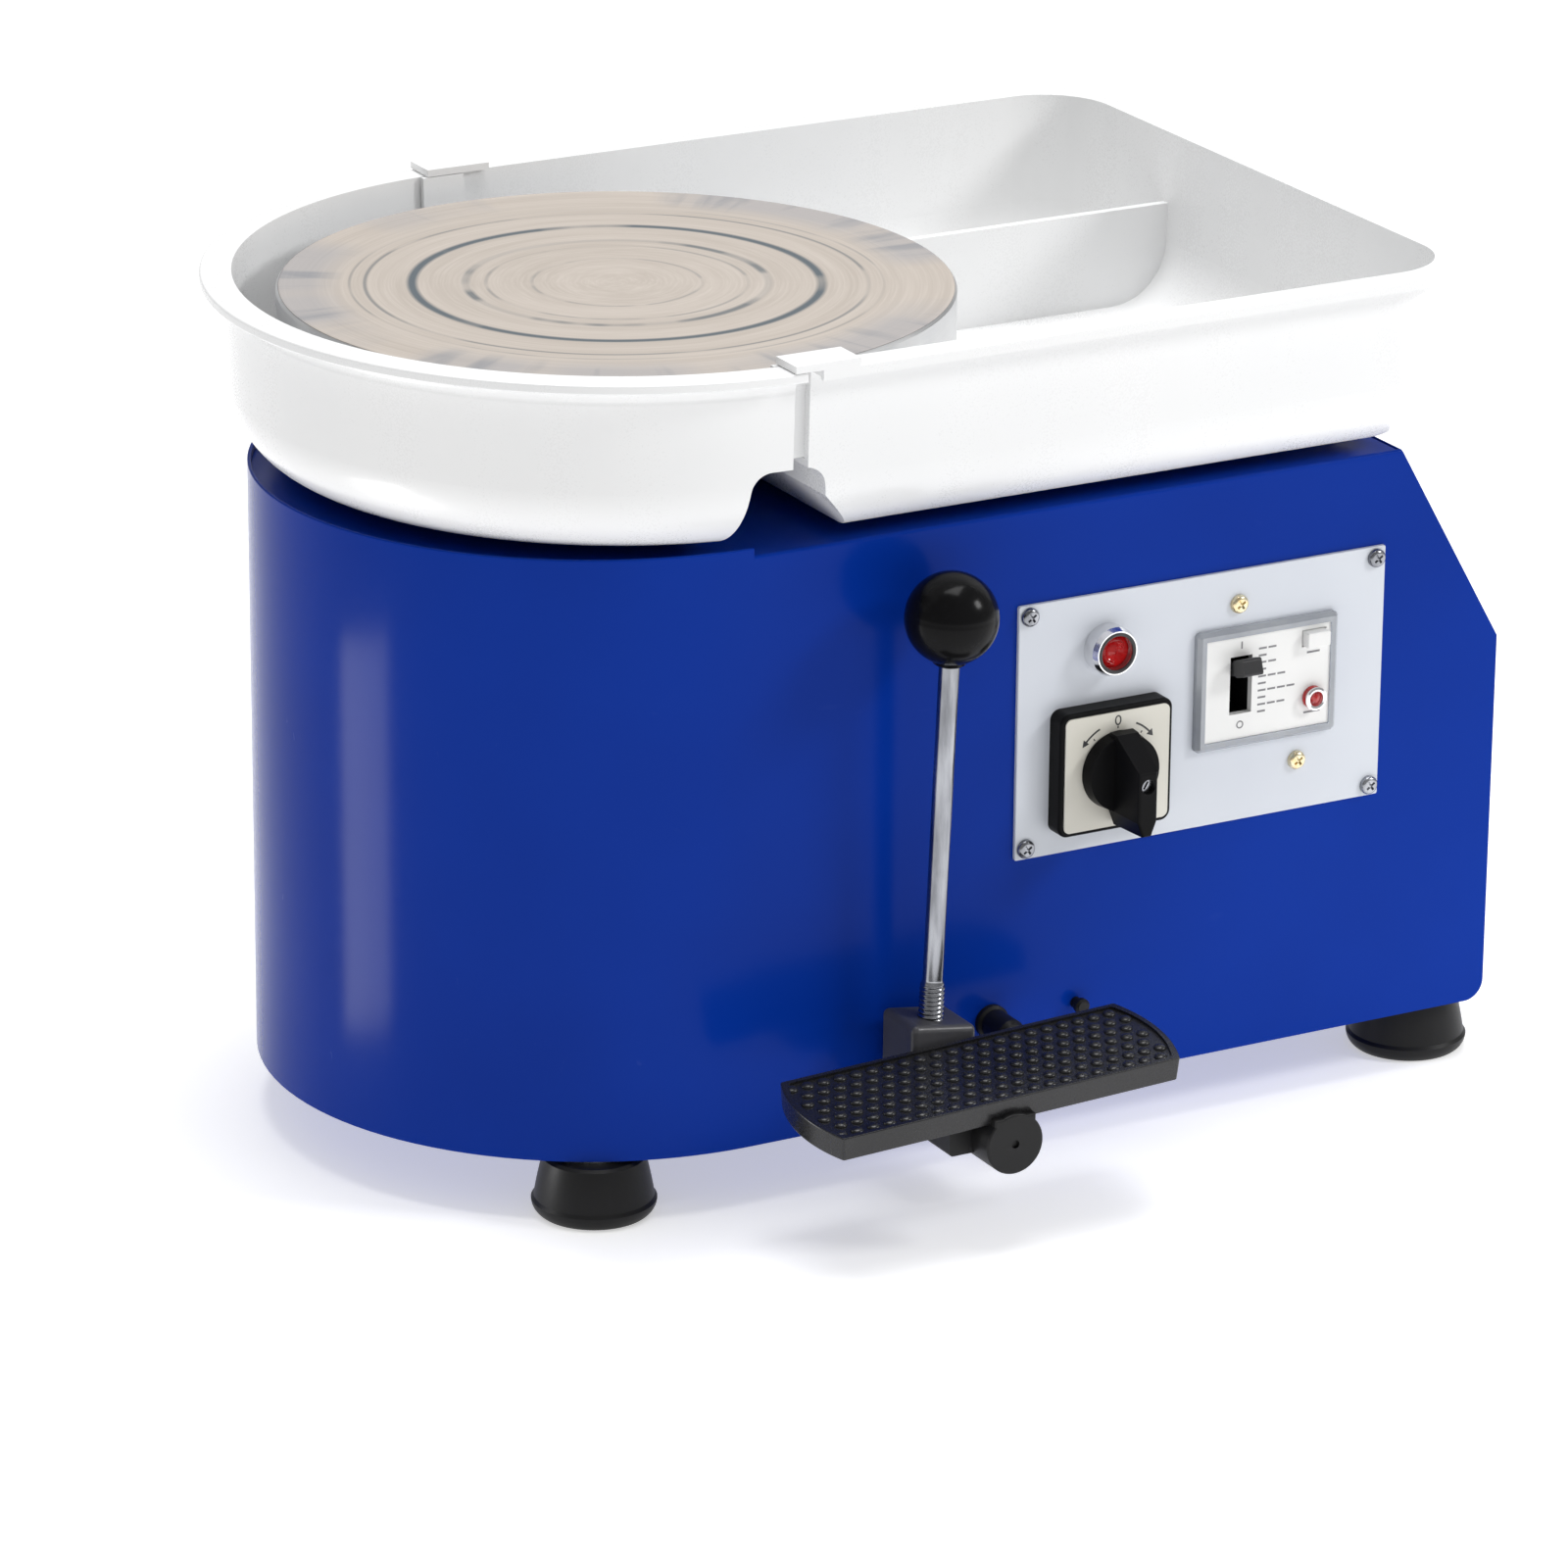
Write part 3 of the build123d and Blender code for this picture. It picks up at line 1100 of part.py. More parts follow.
square_cavity = square_block(PAN_WALL) - ridge_over
with BuildPart() as splash_pan_right:
    add(square_block())
    add(square_rim.part)
    add(hollow_under, mode=Mode.SUBTRACT)
    add(square_cavity, mode=Mode.SUBTRACT)
    split(bisect_by=facing_right(SEAM_RIGHT), keep=Keep.TOP)
    add(tongue_band & slab(-TONGUE_REACH, SEAM_RIGHT + 4, TONGUE_FLOOR, RIM_TOP + RIM_HUMP))
    add(tongue_root & slab(SEAM_RIGHT, SEAM_RIGHT + 4, TONGUE_FLOOR, RIM_TOP + RIM_HUMP))
    add(slab(-TONGUE_REACH, SEAM_RIGHT + 4, TONGUE_FLOOR, TONGUE_FLOOR + TONGUE, PAN_WALL_FLOOR - tongue_out))
    with BuildSketch(level(RIM_TOP + 0.3, 4)):
        for end in (-1, 1):
            with Locations((0, end * (RIM_RADIUS + PAN_WALL_RIM - tongue_in) / 2)):
                Rectangle(26, RIM_RADIUS - PAN_WALL_RIM + tongue_in)
    extrude(amount=RIM_HUMP - 0.3)
    with BuildSketch(level(RIM_TOP - 0.5, (SEAM_RIGHT + 17) / 2)):
        for end in (-1, 1):
            with Locations((0, end * (RIM_RADIUS + PAN_WALL_RIM - PAN_WALL) / 2)):
                Rectangle(17 - SEAM_RIGHT, RIM_RADIUS - PAN_WALL_RIM + PAN_WALL)
    extrude(amount=1.0)
    add(divider_form & slab(DIVIDER_LEFT, PAN_RIGHT, PAN_FLOOR + 1, RIM_TOP - DIVIDER_DROP)
        & divider_wall.part)
    add(spout.part, mode=Mode.SUBTRACT)
splash_pan_right.part.label = "splash_pan_right"
export_step(splash_pan_right.part, "parts/splash_pan_right.step")
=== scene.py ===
"""The looks of the table-top pottery wheel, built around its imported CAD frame. Metres, +Z up."""

import json
import math
import random

import bmesh
import bpy
from mathutils import Matrix, Vector


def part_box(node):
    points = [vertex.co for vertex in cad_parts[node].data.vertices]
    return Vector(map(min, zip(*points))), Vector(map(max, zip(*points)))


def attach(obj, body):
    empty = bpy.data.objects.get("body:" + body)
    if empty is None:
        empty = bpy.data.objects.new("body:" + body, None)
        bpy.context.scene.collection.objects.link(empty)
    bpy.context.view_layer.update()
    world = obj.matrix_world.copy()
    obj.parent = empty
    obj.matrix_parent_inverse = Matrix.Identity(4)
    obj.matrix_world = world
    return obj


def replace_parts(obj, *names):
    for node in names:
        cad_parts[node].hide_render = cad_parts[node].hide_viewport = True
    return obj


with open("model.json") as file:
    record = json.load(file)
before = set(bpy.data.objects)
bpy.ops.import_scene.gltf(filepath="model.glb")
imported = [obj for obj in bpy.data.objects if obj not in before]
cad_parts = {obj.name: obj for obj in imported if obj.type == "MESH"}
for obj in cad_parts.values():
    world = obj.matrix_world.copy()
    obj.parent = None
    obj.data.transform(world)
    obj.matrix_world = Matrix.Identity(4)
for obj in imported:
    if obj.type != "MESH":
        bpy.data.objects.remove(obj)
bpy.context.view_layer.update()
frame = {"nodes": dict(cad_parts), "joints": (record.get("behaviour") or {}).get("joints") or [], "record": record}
NODES = frame["nodes"]
for plain in list(bpy.data.materials):
    bpy.data.materials.remove(plain)
JOINTS = {joint["name"]: joint for joint in frame["joints"]}

# ---------------------------------------------------------------- places read from the frame
SPINDLE = Vector(JOINTS["wheel_spin"]["pos_m"])
SHAFT = Vector(JOINTS["control_tilt"]["pos_m"])
HEAD_LOW, HEAD_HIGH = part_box("wheel_head")
HEAD_RADIUS = (HEAD_HIGH.x - HEAD_LOW.x) / 2
DIAL_LOW, DIAL_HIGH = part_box("switch_dial")
FACE_LOW, FACE_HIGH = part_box("breaker_face")
LENS_LOW, LENS_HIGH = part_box("lamp_lens")
BALL_LOW, BALL_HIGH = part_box("ball_knob")
BLOCK_LOW, BLOCK_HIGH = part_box("lever_block")
MM = 0.001


# ---------------------------------------------------------------- camera, floor and light
CAMERA_AZIMUTH, CAMERA_ELEVATION, CAMERA_ROLL = -28.94, 19.94, 0.476
CAMERA_DISTANCE = 2.9144
CAMERA_TARGET = Vector((-0.0093, 0.0271, 0.1105))
CAMERA_LENS, CAMERA_SENSOR = 175.9, 36.0
SKY_STRENGTH = 0.40
FLOOR_HALF = 14.0
STRIP_HEIGHT, STRIP_REACH = 0.08, 0.15


def place_camera():
    """A long lens on the left front, a little above the object."""
    azimuth, elevation = math.radians(CAMERA_AZIMUTH), math.radians(CAMERA_ELEVATION)
    roll = math.radians(CAMERA_ROLL)
    back = Vector((math.sin(azimuth) * math.cos(elevation),
                   -math.cos(azimuth) * math.cos(elevation),
                   math.sin(elevation)))
    data = bpy.data.cameras.new("camera")
    data.lens, data.sensor_width = CAMERA_LENS, CAMERA_SENSOR
    data.clip_start, data.clip_end = 0.1, 60.0
    camera = bpy.data.objects.new("camera", data)
    bpy.context.scene.collection.objects.link(camera)
    camera.rotation_mode = "QUATERNION"
    camera.location = CAMERA_TARGET + back * CAMERA_DISTANCE
    camera.rotation_quaternion = (back.to_track_quat("Z", "Y")
                                  @ Matrix.Rotation(roll, 3, "Z").to_quaternion())
    bpy.context.scene.camera = camera


def area_light(name, place, aim, width, height, power):
    """A white soft box of that width and height that looks from place towards aim."""
    data = bpy.data.lights.new(name, "AREA")
    data.shape = "RECTANGLE"
    data.size, data.size_y = width, height
    data.energy = power
    lamp = bpy.data.objects.new(name, data)
    bpy.context.scene.collection.objects.link(lamp)
    lamp.location = place
    lamp.rotation_mode = "QUATERNION"
    lamp.rotation_quaternion = (Vector(place) - Vector(aim)).to_track_quat("Z", "Y")
    return lamp


def light_stage():
    """A pale floor, an even sky and soft boxes: the key is high on the right front, the fill is
    overhead, and a strip at the left, seen only in reflections, lights the edge of the round end."""
    world = bpy.data.worlds.new("studio")
    bpy.context.scene.world = world
    world.use_nodes = True
    sky = world.node_tree.nodes["Background"]
    sky.inputs["Color"].default_value = (1.0, 1.0, 1.0, 1.0)
    sky.inputs["Strength"].default_value = SKY_STRENGTH
    area_light("key", (1.5, -1.25, 1.35), (0.0, -0.05, 0.15), 0.5, 0.5, 17)
    area_light("top_fill", (0.1, 0.1, 2.2), (0.0, 0.0, 0.2), 1.3, 1.3, 40)
    side = Vector((-0.93, 0.37, 0.0))
    strip_aim = SPINDLE + Vector((-0.141, -0.051, 0.0))
    strip_aim.z = STRIP_HEIGHT
    strip = area_light("left_strip", strip_aim + side * STRIP_REACH, strip_aim, 0.075, 0.16, 0.34)
    strip.visible_diffuse = False
    strip.visible_camera = False
    bm = bmesh.new()
    bmesh.ops.create_grid(bm, x_segments=1, y_segments=1, size=FLOOR_HALF)
    mesh = bpy.data.meshes.new("floor")
    bm.to_mesh(mesh)
    bm.free()
    floor = bpy.data.objects.new("floor", mesh)
    bpy.context.scene.collection.objects.link(floor)
    floor.data.materials.append(FINISHES["floor"])
    view = bpy.context.scene.view_settings
    view.view_transform = "Standard"
    view.look = "None"


# ---------------------------------------------------------------- finishes
class Finish:
    """A Principled material whose colour, roughness and bump come from patterns in the object's
    own space. Numbers that are the same all over go straight to the shader's sockets."""

    def __init__(self, name, **constants):
        self.material = bpy.data.materials.new(name)
        self.material.use_nodes = True
        self.tree = self.material.node_tree
        self.shader = self.tree.nodes["Principled BSDF"]
        self.place = self.node("ShaderNodeTexCoord").outputs["Object"]
        for socket, value in constants.items():
            self.shader.inputs[socket.replace("_", " ")].default_value = value

    def node(self, kind, **settings):
        made = self.tree.nodes.new(kind)
        for key, value in settings.items():
            setattr(made, key, value)
        return made

    def feed(self, node, socket, value):
        """Sets a socket to a number, colour or vector, or links it to another node's output."""
        if isinstance(value, bpy.types.NodeSocket):
            self.tree.links.new(value, node.inputs[socket])
        else:
            node.inputs[socket].default_value = value

    def noise(self, scale, detail=3.0, stretch=(1.0, 1.0, 1.0), place=None, distortion=0.0):
        mapping = self.node("ShaderNodeMapping")
        self.feed(mapping, "Vector", place or self.place)
        self.feed(mapping, "Scale", stretch)
        made = self.node("ShaderNodeTexNoise")
        self.feed(made, "Vector", mapping.outputs["Vector"])
        self.feed(made, "Scale", scale)
        self.feed(made, "Detail", detail)
        self.feed(made, "Distortion", distortion)
        return made.outputs["Fac"]

    def math(self, operation, first, second=0.0, clamp=False):
        made = self.node("ShaderNodeMath", operation=operation, use_clamp=clamp)
        self.feed(made, 0, first)
        self.feed(made, 1, second)
        return made.outputs[0]

    def span(self, value, low, high, to_low=0.0, to_high=1.0):
        made = self.node("ShaderNodeMapRange", clamp=True)
        for socket, number in (("Value", value), ("From Min", low), ("From Max", high),
                               ("To Min", to_low), ("To Max", to_high)):
            self.feed(made, socket, number)
        return made.outputs["Result"]

    def mix(self, factor, first, second):
        made = self.node("ShaderNodeMix", data_type="RGBA")
        self.feed(made, 0, factor)
        self.feed(made, 6, first if isinstance(first, bpy.types.NodeSocket) else (*first, 1.0))
        self.feed(made, 7, second if isinstance(second, bpy.types.NodeSocket) else (*second, 1.0))
        return made.outputs[2]

    def colour(self, value):
        self.feed(self.shader, "Base Color", value)
        return self

    def roughness(self, value):
        self.feed(self.shader, "Roughness", value)
        return self

    def bump(self, height, strength, distance):
        made = self.node("ShaderNodeBump")
        self.feed(made, "Height", height)
        self.feed(made, "Strength", strength)
        self.feed(made, "Distance", distance)
        self.feed(self.shader, "Normal", made.outputs["Normal"])
        return self


def mottled(name, dark, light, rough, grain, grain_height, patch=18.0, **constants):
    """A moulded or painted finish: slow patches between two colours, roughness that follows
    them, and a fine grain of that scale and height."""
    made = Finish(name, **constants)
    patches = made.noise(patch, 4.0)
    fine = made.noise(grain, 2.0)
    made.colour(made.mix(made.span(patches, 0.3, 0.7), dark, light))
    made.roughness(made.span(made.math("ADD", patches, fine), 0.7, 1.3, *rough))
    made.bump(fine, 0.35, grain_height)
    return made


def metal(name, dark, light, rough, streak=(1.0, 1.0, 1.0), scale=60.0, height=0.00002, **constants):
    """A metal whose colour and roughness run in streaks."""
    made = Finish(name, Metallic=1.0, **constants)
    streaks = made.noise(scale, 5.0, streak)
    patches = made.noise(25.0, 3.0)
    made.colour(made.mix(made.span(streaks, 0.3, 0.7), dark, light))
    made.roughness(made.span(made.math("ADD", streaks, patches), 0.7, 1.3, *rough))
    made.bump(streaks, 0.3, height)
    return made


def blue_paint():
    """Glossy royal blue over sheet steel, with faint orange peel and a few fine scratches."""
    made = Finish("blue_paint", IOR=1.5, Specular_IOR_Level=0.06)
    patches = made.noise(6.0, 3.0)
    peel = made.noise(420.0, 2.0)
    scratch = made.span(made.noise(300.0, 2.0, (0.10, 1.0, 0.35), distortion=0.4), 0.72, 0.80)
    base = made.mix(made.span(patches, 0.3, 0.7), (0.0010, 0.026, 0.262), (0.0016, 0.033, 0.318))
    made.colour(made.mix(made.math("MULTIPLY", scratch, 0.05), base, (0.10, 0.16, 0.5)))
    made.roughness(made.math("ADD", made.span(peel, 0.3, 0.7, 0.15, 0.21),
                             made.math("MULTIPLY", scratch, 0.12)))
    made.bump(peel, 0.12, 0.00006)
    return made


def white_plastic():
    """Moulded white plastic, with a faint tool texture and slow shade changes."""
    made = Finish("white_plastic", IOR=1.5, Coat_Weight=0.25, Coat_Roughness=0.12)
    patches = made.noise(5.0, 3.0)
    fine = made.noise(1400.0, 2.0)
    flow = made.noise(40.0, 3.0, (1.0, 1.0, 0.2))
    made.colour(made.mix(made.span(patches, 0.3, 0.7), (0.82, 0.825, 0.83), (0.87, 0.87, 0.865)))
    made.roughness(made.span(made.math("ADD", fine, flow), 0.7, 1.3, 0.24, 0.36))
    made.bump(made.math("ADD", fine, made.math("MULTIPLY", flow, 0.2)), 0.10, 0.00004)
    return made


def polar(made, centre):
    """(distance from an upright axis, a vector that turns with the angle about it)."""
    shift = made.node("ShaderNodeVectorMath", operation="SUBTRACT")
    made.feed(shift, 0, made.place)
    made.feed(shift, 1, (centre.x, centre.y, 0.0))
    flat = made.node("ShaderNodeVectorMath", operation="MULTIPLY")
    made.feed(flat, 0, shift.outputs[0])
    made.feed(flat, 1, (1.0, 1.0, 0.0))
    reach = made.node("ShaderNodeVectorMath", operation="LENGTH")
    made.feed(reach, 0, flat.outputs[0])
    turn = made.node("ShaderNodeVectorMath", operation="NORMALIZE")
    made.feed(turn, 0, flat.outputs[0])
    return reach.outputs["Value"], turn.outputs[0]


def ring_place(made, reach, turn, radial, around):
    """A place whose noise runs in rings: fast across the radius and slow round the axis."""
    split = made.node("ShaderNodeSeparateXYZ")
    made.feed(split, 0, turn)
    joined = made.node("ShaderNodeCombineXYZ")
    made.feed(joined, 0, made.math("MULTIPLY", reach, radial))
    made.feed(joined, 1, made.math("MULTIPLY", split.outputs["X"], around))
    made.feed(joined, 2, made.math("MULTIPLY", split.outputs["Y"], around))
    return joined.outputs[0]


def turned_aluminium():
    """Cast aluminium turned on a lathe: fine lines run round its axis."""
    made = Finish("wheel_aluminium", Metallic=1.0)
    lines = made.noise(1500.0, 3.0, (0.02, 0.02, 1.0))
    patches = made.noise(18.0, 4.0)
    made.colour(made.mix(made.span(patches, 0.3, 0.7), (0.60, 0.61, 0.63), (0.78, 0.78, 0.78)))
    made.roughness(made.span(made.math("ADD", lines, patches), 0.7, 1.3, 0.26, 0.44))
    made.bump(lines, 0.25, 0.00003)
    return made


def clay_slip():
    """A dried film of beige clay, wiped into rings, with blue-grey metal showing through."""
    made = Finish("clay_slip", IOR=1.45)
    reach, turn = polar(made, SPINDLE)
    share = made.math("DIVIDE", reach, HEAD_RADIUS)
    coarse = made.noise(1.0, 3.0, place=ring_place(made, reach, turn, 150.0, 0.7))
    fine = made.noise(1.0, 4.0, place=ring_place(made, reach, turn, 900.0, 2.2))
    sway = made.noise(1.0, 1.0, place=ring_place(made, reach, turn, 6.0, 1.1))
    smear = made.noise(1.0, 3.0, place=ring_place(made, reach, turn, 14.0, 11.0), distortion=0.4)
    side = made.noise(1.0, 2.0, place=ring_place(made, reach, turn, 2.0, 1.7))
    clay = made.mix(made.span(coarse, 0.30, 0.70), (0.395, 0.350, 0.308), (0.450, 0.402, 0.358))
    clay = made.mix(made.math("MULTIPLY", made.span(fine, 0.45, 0.75), 0.35), clay, (0.55, 0.50, 0.45))
    outer = made.math("MULTIPLY", made.span(share, 0.80, 0.90), made.span(side, 0.42, 0.56))
    clay = made.mix(made.math("MULTIPLY", outer, 0.85), clay, (0.340, 0.325, 0.325))
    blotch = made.math("MULTIPLY", outer, made.span(smear, 0.52, 0.70))
    clay = made.mix(made.math("MULTIPLY", blotch, 0.75), clay, (0.20, 0.21, 0.23))
    bare = None
    for middle, half, depth, low in ((0.602, 0.010, 0.95, 0.30), (0.740, 0.004, 0.55, 0.40),
                                     (0.785, 0.003, 0.35, 0.48), (0.445, 0.009, 0.75, 0.50),
                                     (0.385, 0.004, 0.35, 0.46), (0.250, 0.004, 0.30, 0.44)):
        wander = made.math("MULTIPLY", made.math("SUBTRACT", sway, 0.5), 0.012)
        away = made.math("ABSOLUTE", made.math("SUBTRACT", made.math("ADD", share, wander), middle))
        ring = made.math("MULTIPLY", made.span(away, half * 0.7, half * 2.0, 1.0, 0.0), depth)
        ring = made.math("MULTIPLY", ring, made.span(side, low, low + 0.10, 0.25, 1.0))
        bare = ring if bare is None else made.math("MAXIMUM", bare, ring)
    made.colour(made.mix(bare, clay, (0.065, 0.090, 0.110)))
    made.roughness(made.span(made.math("ADD", bare, fine), 0.3, 1.4, 0.62, 0.34))
    made.bump(made.math("ADD", coarse, made.math("MULTIPLY", fine, 0.4)), 0.30, 0.00012)
    return made


def yellow_zinc():
    """Yellow zinc plate, which shifts between straw, pink and green."""
    made = Finish("yellow_zinc", Metallic=1.0)
    patches = made.noise(260.0, 3.0)
    shift = made.noise(420.0, 2.0)
    straw = made.mix(made.span(patches, 0.35, 0.65), (0.72, 0.56, 0.30), (0.80, 0.72, 0.52))
    made.colour(made.mix(made.span(shift, 0.5, 0.75), straw, (0.62, 0.62, 0.48)))
    made.roughness(made.span(patches, 0.3, 0.7, 0.18, 0.34))
    made.bump(shift, 0.2, 0.00002)
    return made


def clear_plastic():
    """A clear moulded cover that sits on a white backing."""
    made = Finish("clear_plastic", IOR=1.49, Transmission_Weight=0.55, Coat_Weight=0.5,
                  Coat_Roughness=0.05)
    patches = made.noise(70.0, 3.0)
    made.colour(made.mix(made.span(patches, 0.3, 0.7), (0.62, 0.66, 0.74), (0.74, 0.78, 0.84)))
    made.roughness(made.span(patches, 0.3, 0.7, 0.10, 0.20))
    made.bump(patches, 0.1, 0.00003)
    return made


def red_lens():
    """Red lens plastic, lit from behind."""
    made = Finish("red_lens", IOR=1.5, Transmission_Weight=0.35, Coat_Weight=0.6, Coat_Roughness=0.05,
                  Emission_Color=(1.0, 0.02, 0.02, 1.0), Emission_Strength=0.04)
    patches = made.noise(300.0, 2.0)
    made.colour(made.mix(made.span(patches, 0.3, 0.7), (0.42, 0.002, 0.005), (0.62, 0.010, 0.012)))
    made.roughness(made.span(patches, 0.3, 0.7, 0.10, 0.18))
    made.bump(patches, 0.1, 0.00003)
    return made


FINISHES = {made.material.name: made.material for made in (
    blue_paint(),
    white_plastic(),
    turned_aluminium(),
    clay_slip(),
    yellow_zinc(),
    clear_plastic(),
    red_lens(),
    mottled("black_rubber", (0.006, 0.006, 0.0065), (0.014, 0.014, 0.0145), (0.36, 0.52), 2600, 0.00006,
            Specular_IOR_Level=0.22),
    mottled("black_plastic", (0.012, 0.012, 0.013), (0.024, 0.024, 0.026), (0.36, 0.48), 3200, 0.00008,
            Specular_IOR_Level=0.40),
    mottled("pedal_black", (0.010, 0.010, 0.011), (0.020, 0.020, 0.021), (0.22, 0.34), 1500, 0.00008,
            Specular_IOR_Level=0.40),
    # The lever block's black is lighter and bluer than the other blacks: a painted sheen, not wear.
    mottled("painted_sheen_black", (0.050, 0.050, 0.056), (0.080, 0.080, 0.088), (0.30, 0.42), 2600, 0.00006),
    mottled("knob_black", (0.004, 0.004, 0.0045), (0.008, 0.008, 0.0085), (0.30, 0.42), 3200, 0.00004,
            Specular_IOR_Level=0.06),
    mottled("gloss_black", (0.002, 0.002, 0.0023), (0.005, 0.005, 0.0054), (0.12, 0.20), 900, 0.00001,
            Specular_IOR_Level=0.09),
    mottled("panel_grey", (0.60, 0.63, 0.69), (0.66, 0.69, 0.74), (0.32, 0.42), 2400, 0.00002, 9.0),
    mottled("breaker_white", (0.78, 0.78, 0.77), (0.84, 0.84, 0.83), (0.30, 0.42), 2000, 0.00002),
    mottled("dial_cream", (0.62, 0.60, 0.53), (0.70, 0.68, 0.61), (0.30, 0.42), 2600, 0.00002),
    mottled("nylon_white", (0.66, 0.64, 0.58), (0.74, 0.72, 0.66), (0.42, 0.55), 1800, 0.00004),
    mottled("motor_black", (0.012, 0.012, 0.014), (0.028, 0.028, 0.032), (0.28, 0.44), 900, 0.00008),
    mottled("belt_rubber", (0.012, 0.012, 0.012), (0.035, 0.034, 0.033), (0.60, 0.78), 1500, 0.00010),
    mottled("ink", (0.02, 0.02, 0.022), (0.04, 0.04, 0.042), (0.40, 0.55), 3000, 0.00001),
    mottled("grey_ink", (0.16, 0.16, 0.17), (0.24, 0.24, 0.25), (0.40, 0.55), 3000, 0.00001),
    mottled("floor", (0.84, 0.84, 0.84), (0.87, 0.87, 0.87), (0.75, 0.85), 30.0, 0.00010, 0.8,
            Specular_IOR_Level=0.10, Emission_Color=(1.0, 1.0, 1.0, 1.0), Emission_Strength=0.48),
    # zinc_steel is darker than plated steel really is: its colour stands in for the dark surroundings the rod
    # reflects, a painted dark reflection.
    metal("zinc_steel", (0.16, 0.165, 0.18), (0.42, 0.43, 0.46), (0.14, 0.30), (1.0, 1.0, 0.15), 220.0),
    metal("chrome", (0.72, 0.72, 0.74), (0.84, 0.84, 0.85), (0.05, 0.12), (1.0, 1.0, 1.0), 90.0),
    metal("steel", (0.36, 0.36, 0.38), (0.58, 0.58, 0.59), (0.24, 0.42), (1.0, 1.0, 6.0), 120.0),
    metal("cast_grey", (0.14, 0.145, 0.15), (0.26, 0.265, 0.27), (0.46, 0.66), (1.0, 1.0, 1.0), 700.0,
          0.00020),
)}


# ---------------------------------------------------------------- mesh helpers
def piece(name, bm, body, finish, smooth=True):
    """Makes an object of a bmesh, gives it its finish and sets it riding on a body."""
    bmesh.ops.recalc_face_normals(bm, faces=bm.faces)
    mesh = bpy.data.meshes.new(name)
    bm.to_mesh(mesh)
    bm.free()
    made = bpy.data.objects.new(name, mesh)
    bpy.context.scene.collection.objects.link(made)
    mesh.materials.append(FINISHES[finish])
    if smooth:
        mesh.shade_smooth()
    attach(made, body)
    return made


def bevelled(made, width, segments=2, angle=50):
    """Rounds a piece's sharp edges."""
    bevel = made.modifiers.new("edges", "BEVEL")
    bevel.width, bevel.segments = width, segments
    bevel.limit_method, bevel.angle_limit = "ANGLE", math.radians(angle)
    return made


def add_lathe(bm, profile, matrix, steps=96):
    """Turns (radius, height) points about the matrix's Z axis; a radius of 0 is a pole."""
    rings = []
    for radius, height in profile:
        if radius < 1e-9:
            rings.append([bm.verts.new(matrix @ Vector((0, 0, height)))])
        else:
            rings.append([bm.verts.new(matrix @ Vector((radius * math.cos(2 * math.pi * i / steps),
                                                        radius * math.sin(2 * math.pi * i / steps),
                                                        height))) for i in range(steps)])
    for low, high in zip(rings, rings[1:]):
        for i in range(steps):
            j = (i + 1) % steps
            corners = [low[i % len(low)], low[j % len(low)], high[j % len(high)], high[i % len(high)]]
            unique = list(dict.fromkeys(corners))
            if len(unique) > 2:
                bm.faces.new(unique)


def arc(radius, start, end, steps, centre=(0.0, 0.0)):
    """Points of a circular arc between two angles in degrees."""
    return [(centre[0] + radius * math.cos(math.radians(start + (end - start) * i / steps)),
             centre[1] + radius * math.sin(math.radians(start + (end - start) * i / steps)))
            for i in range(steps + 1)]


def add_plate(bm, points, matrix, thickness):
    """A flat outline of points in the matrix's plane, thickened along its Z."""
    low = [bm.verts.new(matrix @ Vector((x, y, 0))) for x, y in points]
    high = [bm.verts.new(matrix @ Vector((x, y, thickness))) for x, y in points]
    bm.faces.new(low)
    bm.faces.new(high)
    for i in range(len(points)):
        j = (i + 1) % len(points)
        bm.faces.new((low[i], low[j], high[j], high[i]))


def forward_frame(x, y, z):
    """A matrix whose X is the row's X, Y is up and Z points at the potter."""
    return Matrix.Translation((x, y, z)) @ Matrix(((1, 0, 0, 0), (0, 0, -1, 0), (0, 1, 0, 0), (0, 0, 0, 1)))


# ---------------------------------------------------------------- carried-over CAD nodes
# Nodes whose finish isn't their slot's own, and the width in mm of the bevel on sharp edges.
# The lever block's lighter, bluish black is a painted sheen.
SPECIAL = {"switch_knob": "knob_black", "lever_block": "painted_sheen_black", "pedal": "pedal_black",
           "pedal_hub": "black_rubber", "breaker_case": "knob_black", "switch_base": "knob_black"}
EDGES = {"splash_pan_left": 0.6, "splash_pan_right": 0.6, "control_panel": 0.35, "front_sheet": 0.5,
         "top_plate": 0.5, "lever_block": 0.6, "pedal": 0.5, "pedal_hub": 0.5}


def dress_nodes():
    """Gives each CAD node its finish, and rounds the sharp edges of the ones that show most."""
    for part in frame["record"]["subparts"]:
        node = NODES[part["node"]]
        node.data.materials.clear()
        node.data.materials.append(FINISHES[SPECIAL.get(part["node"], part["material_slot"])])
    for name, width in EDGES.items():
        bevelled(NODES[name], width * MM)


# ---------------------------------------------------------------- wheel head
def slip_film():
    """The clay film on the wheel head: fingertip ridges run round it, and its edge thins out."""
    bm = bmesh.new()
    random.seed(11)
    waves = [(random.uniform(60, 900), random.uniform(0, 6.28), random.uniform(0.3, 1.0))
             for _ in range(9)]
    thickness, radius = 0.25 * MM, HEAD_RADIUS - 1.2 * MM
    profile = [(0.0, thickness)]
    steps = 220
    for i in range(1, steps + 1):
        reach = radius * i / steps
        ridge = sum(size * math.sin(rate * reach + phase) for rate, phase, size in waves) / len(waves)
        profile.append((reach, thickness + 0.10 * MM * ridge))
    profile += [(radius + 0.4 * MM, 0.05 * MM), (radius + 0.3 * MM, -0.1 * MM), (0.0, -0.1 * MM)]
    add_lathe(bm, profile, Matrix.Translation((SPINDLE.x, SPINDLE.y, HEAD_HIGH.z)), 180)
    return piece("slip_film", bm, "wheel", "clay_slip")


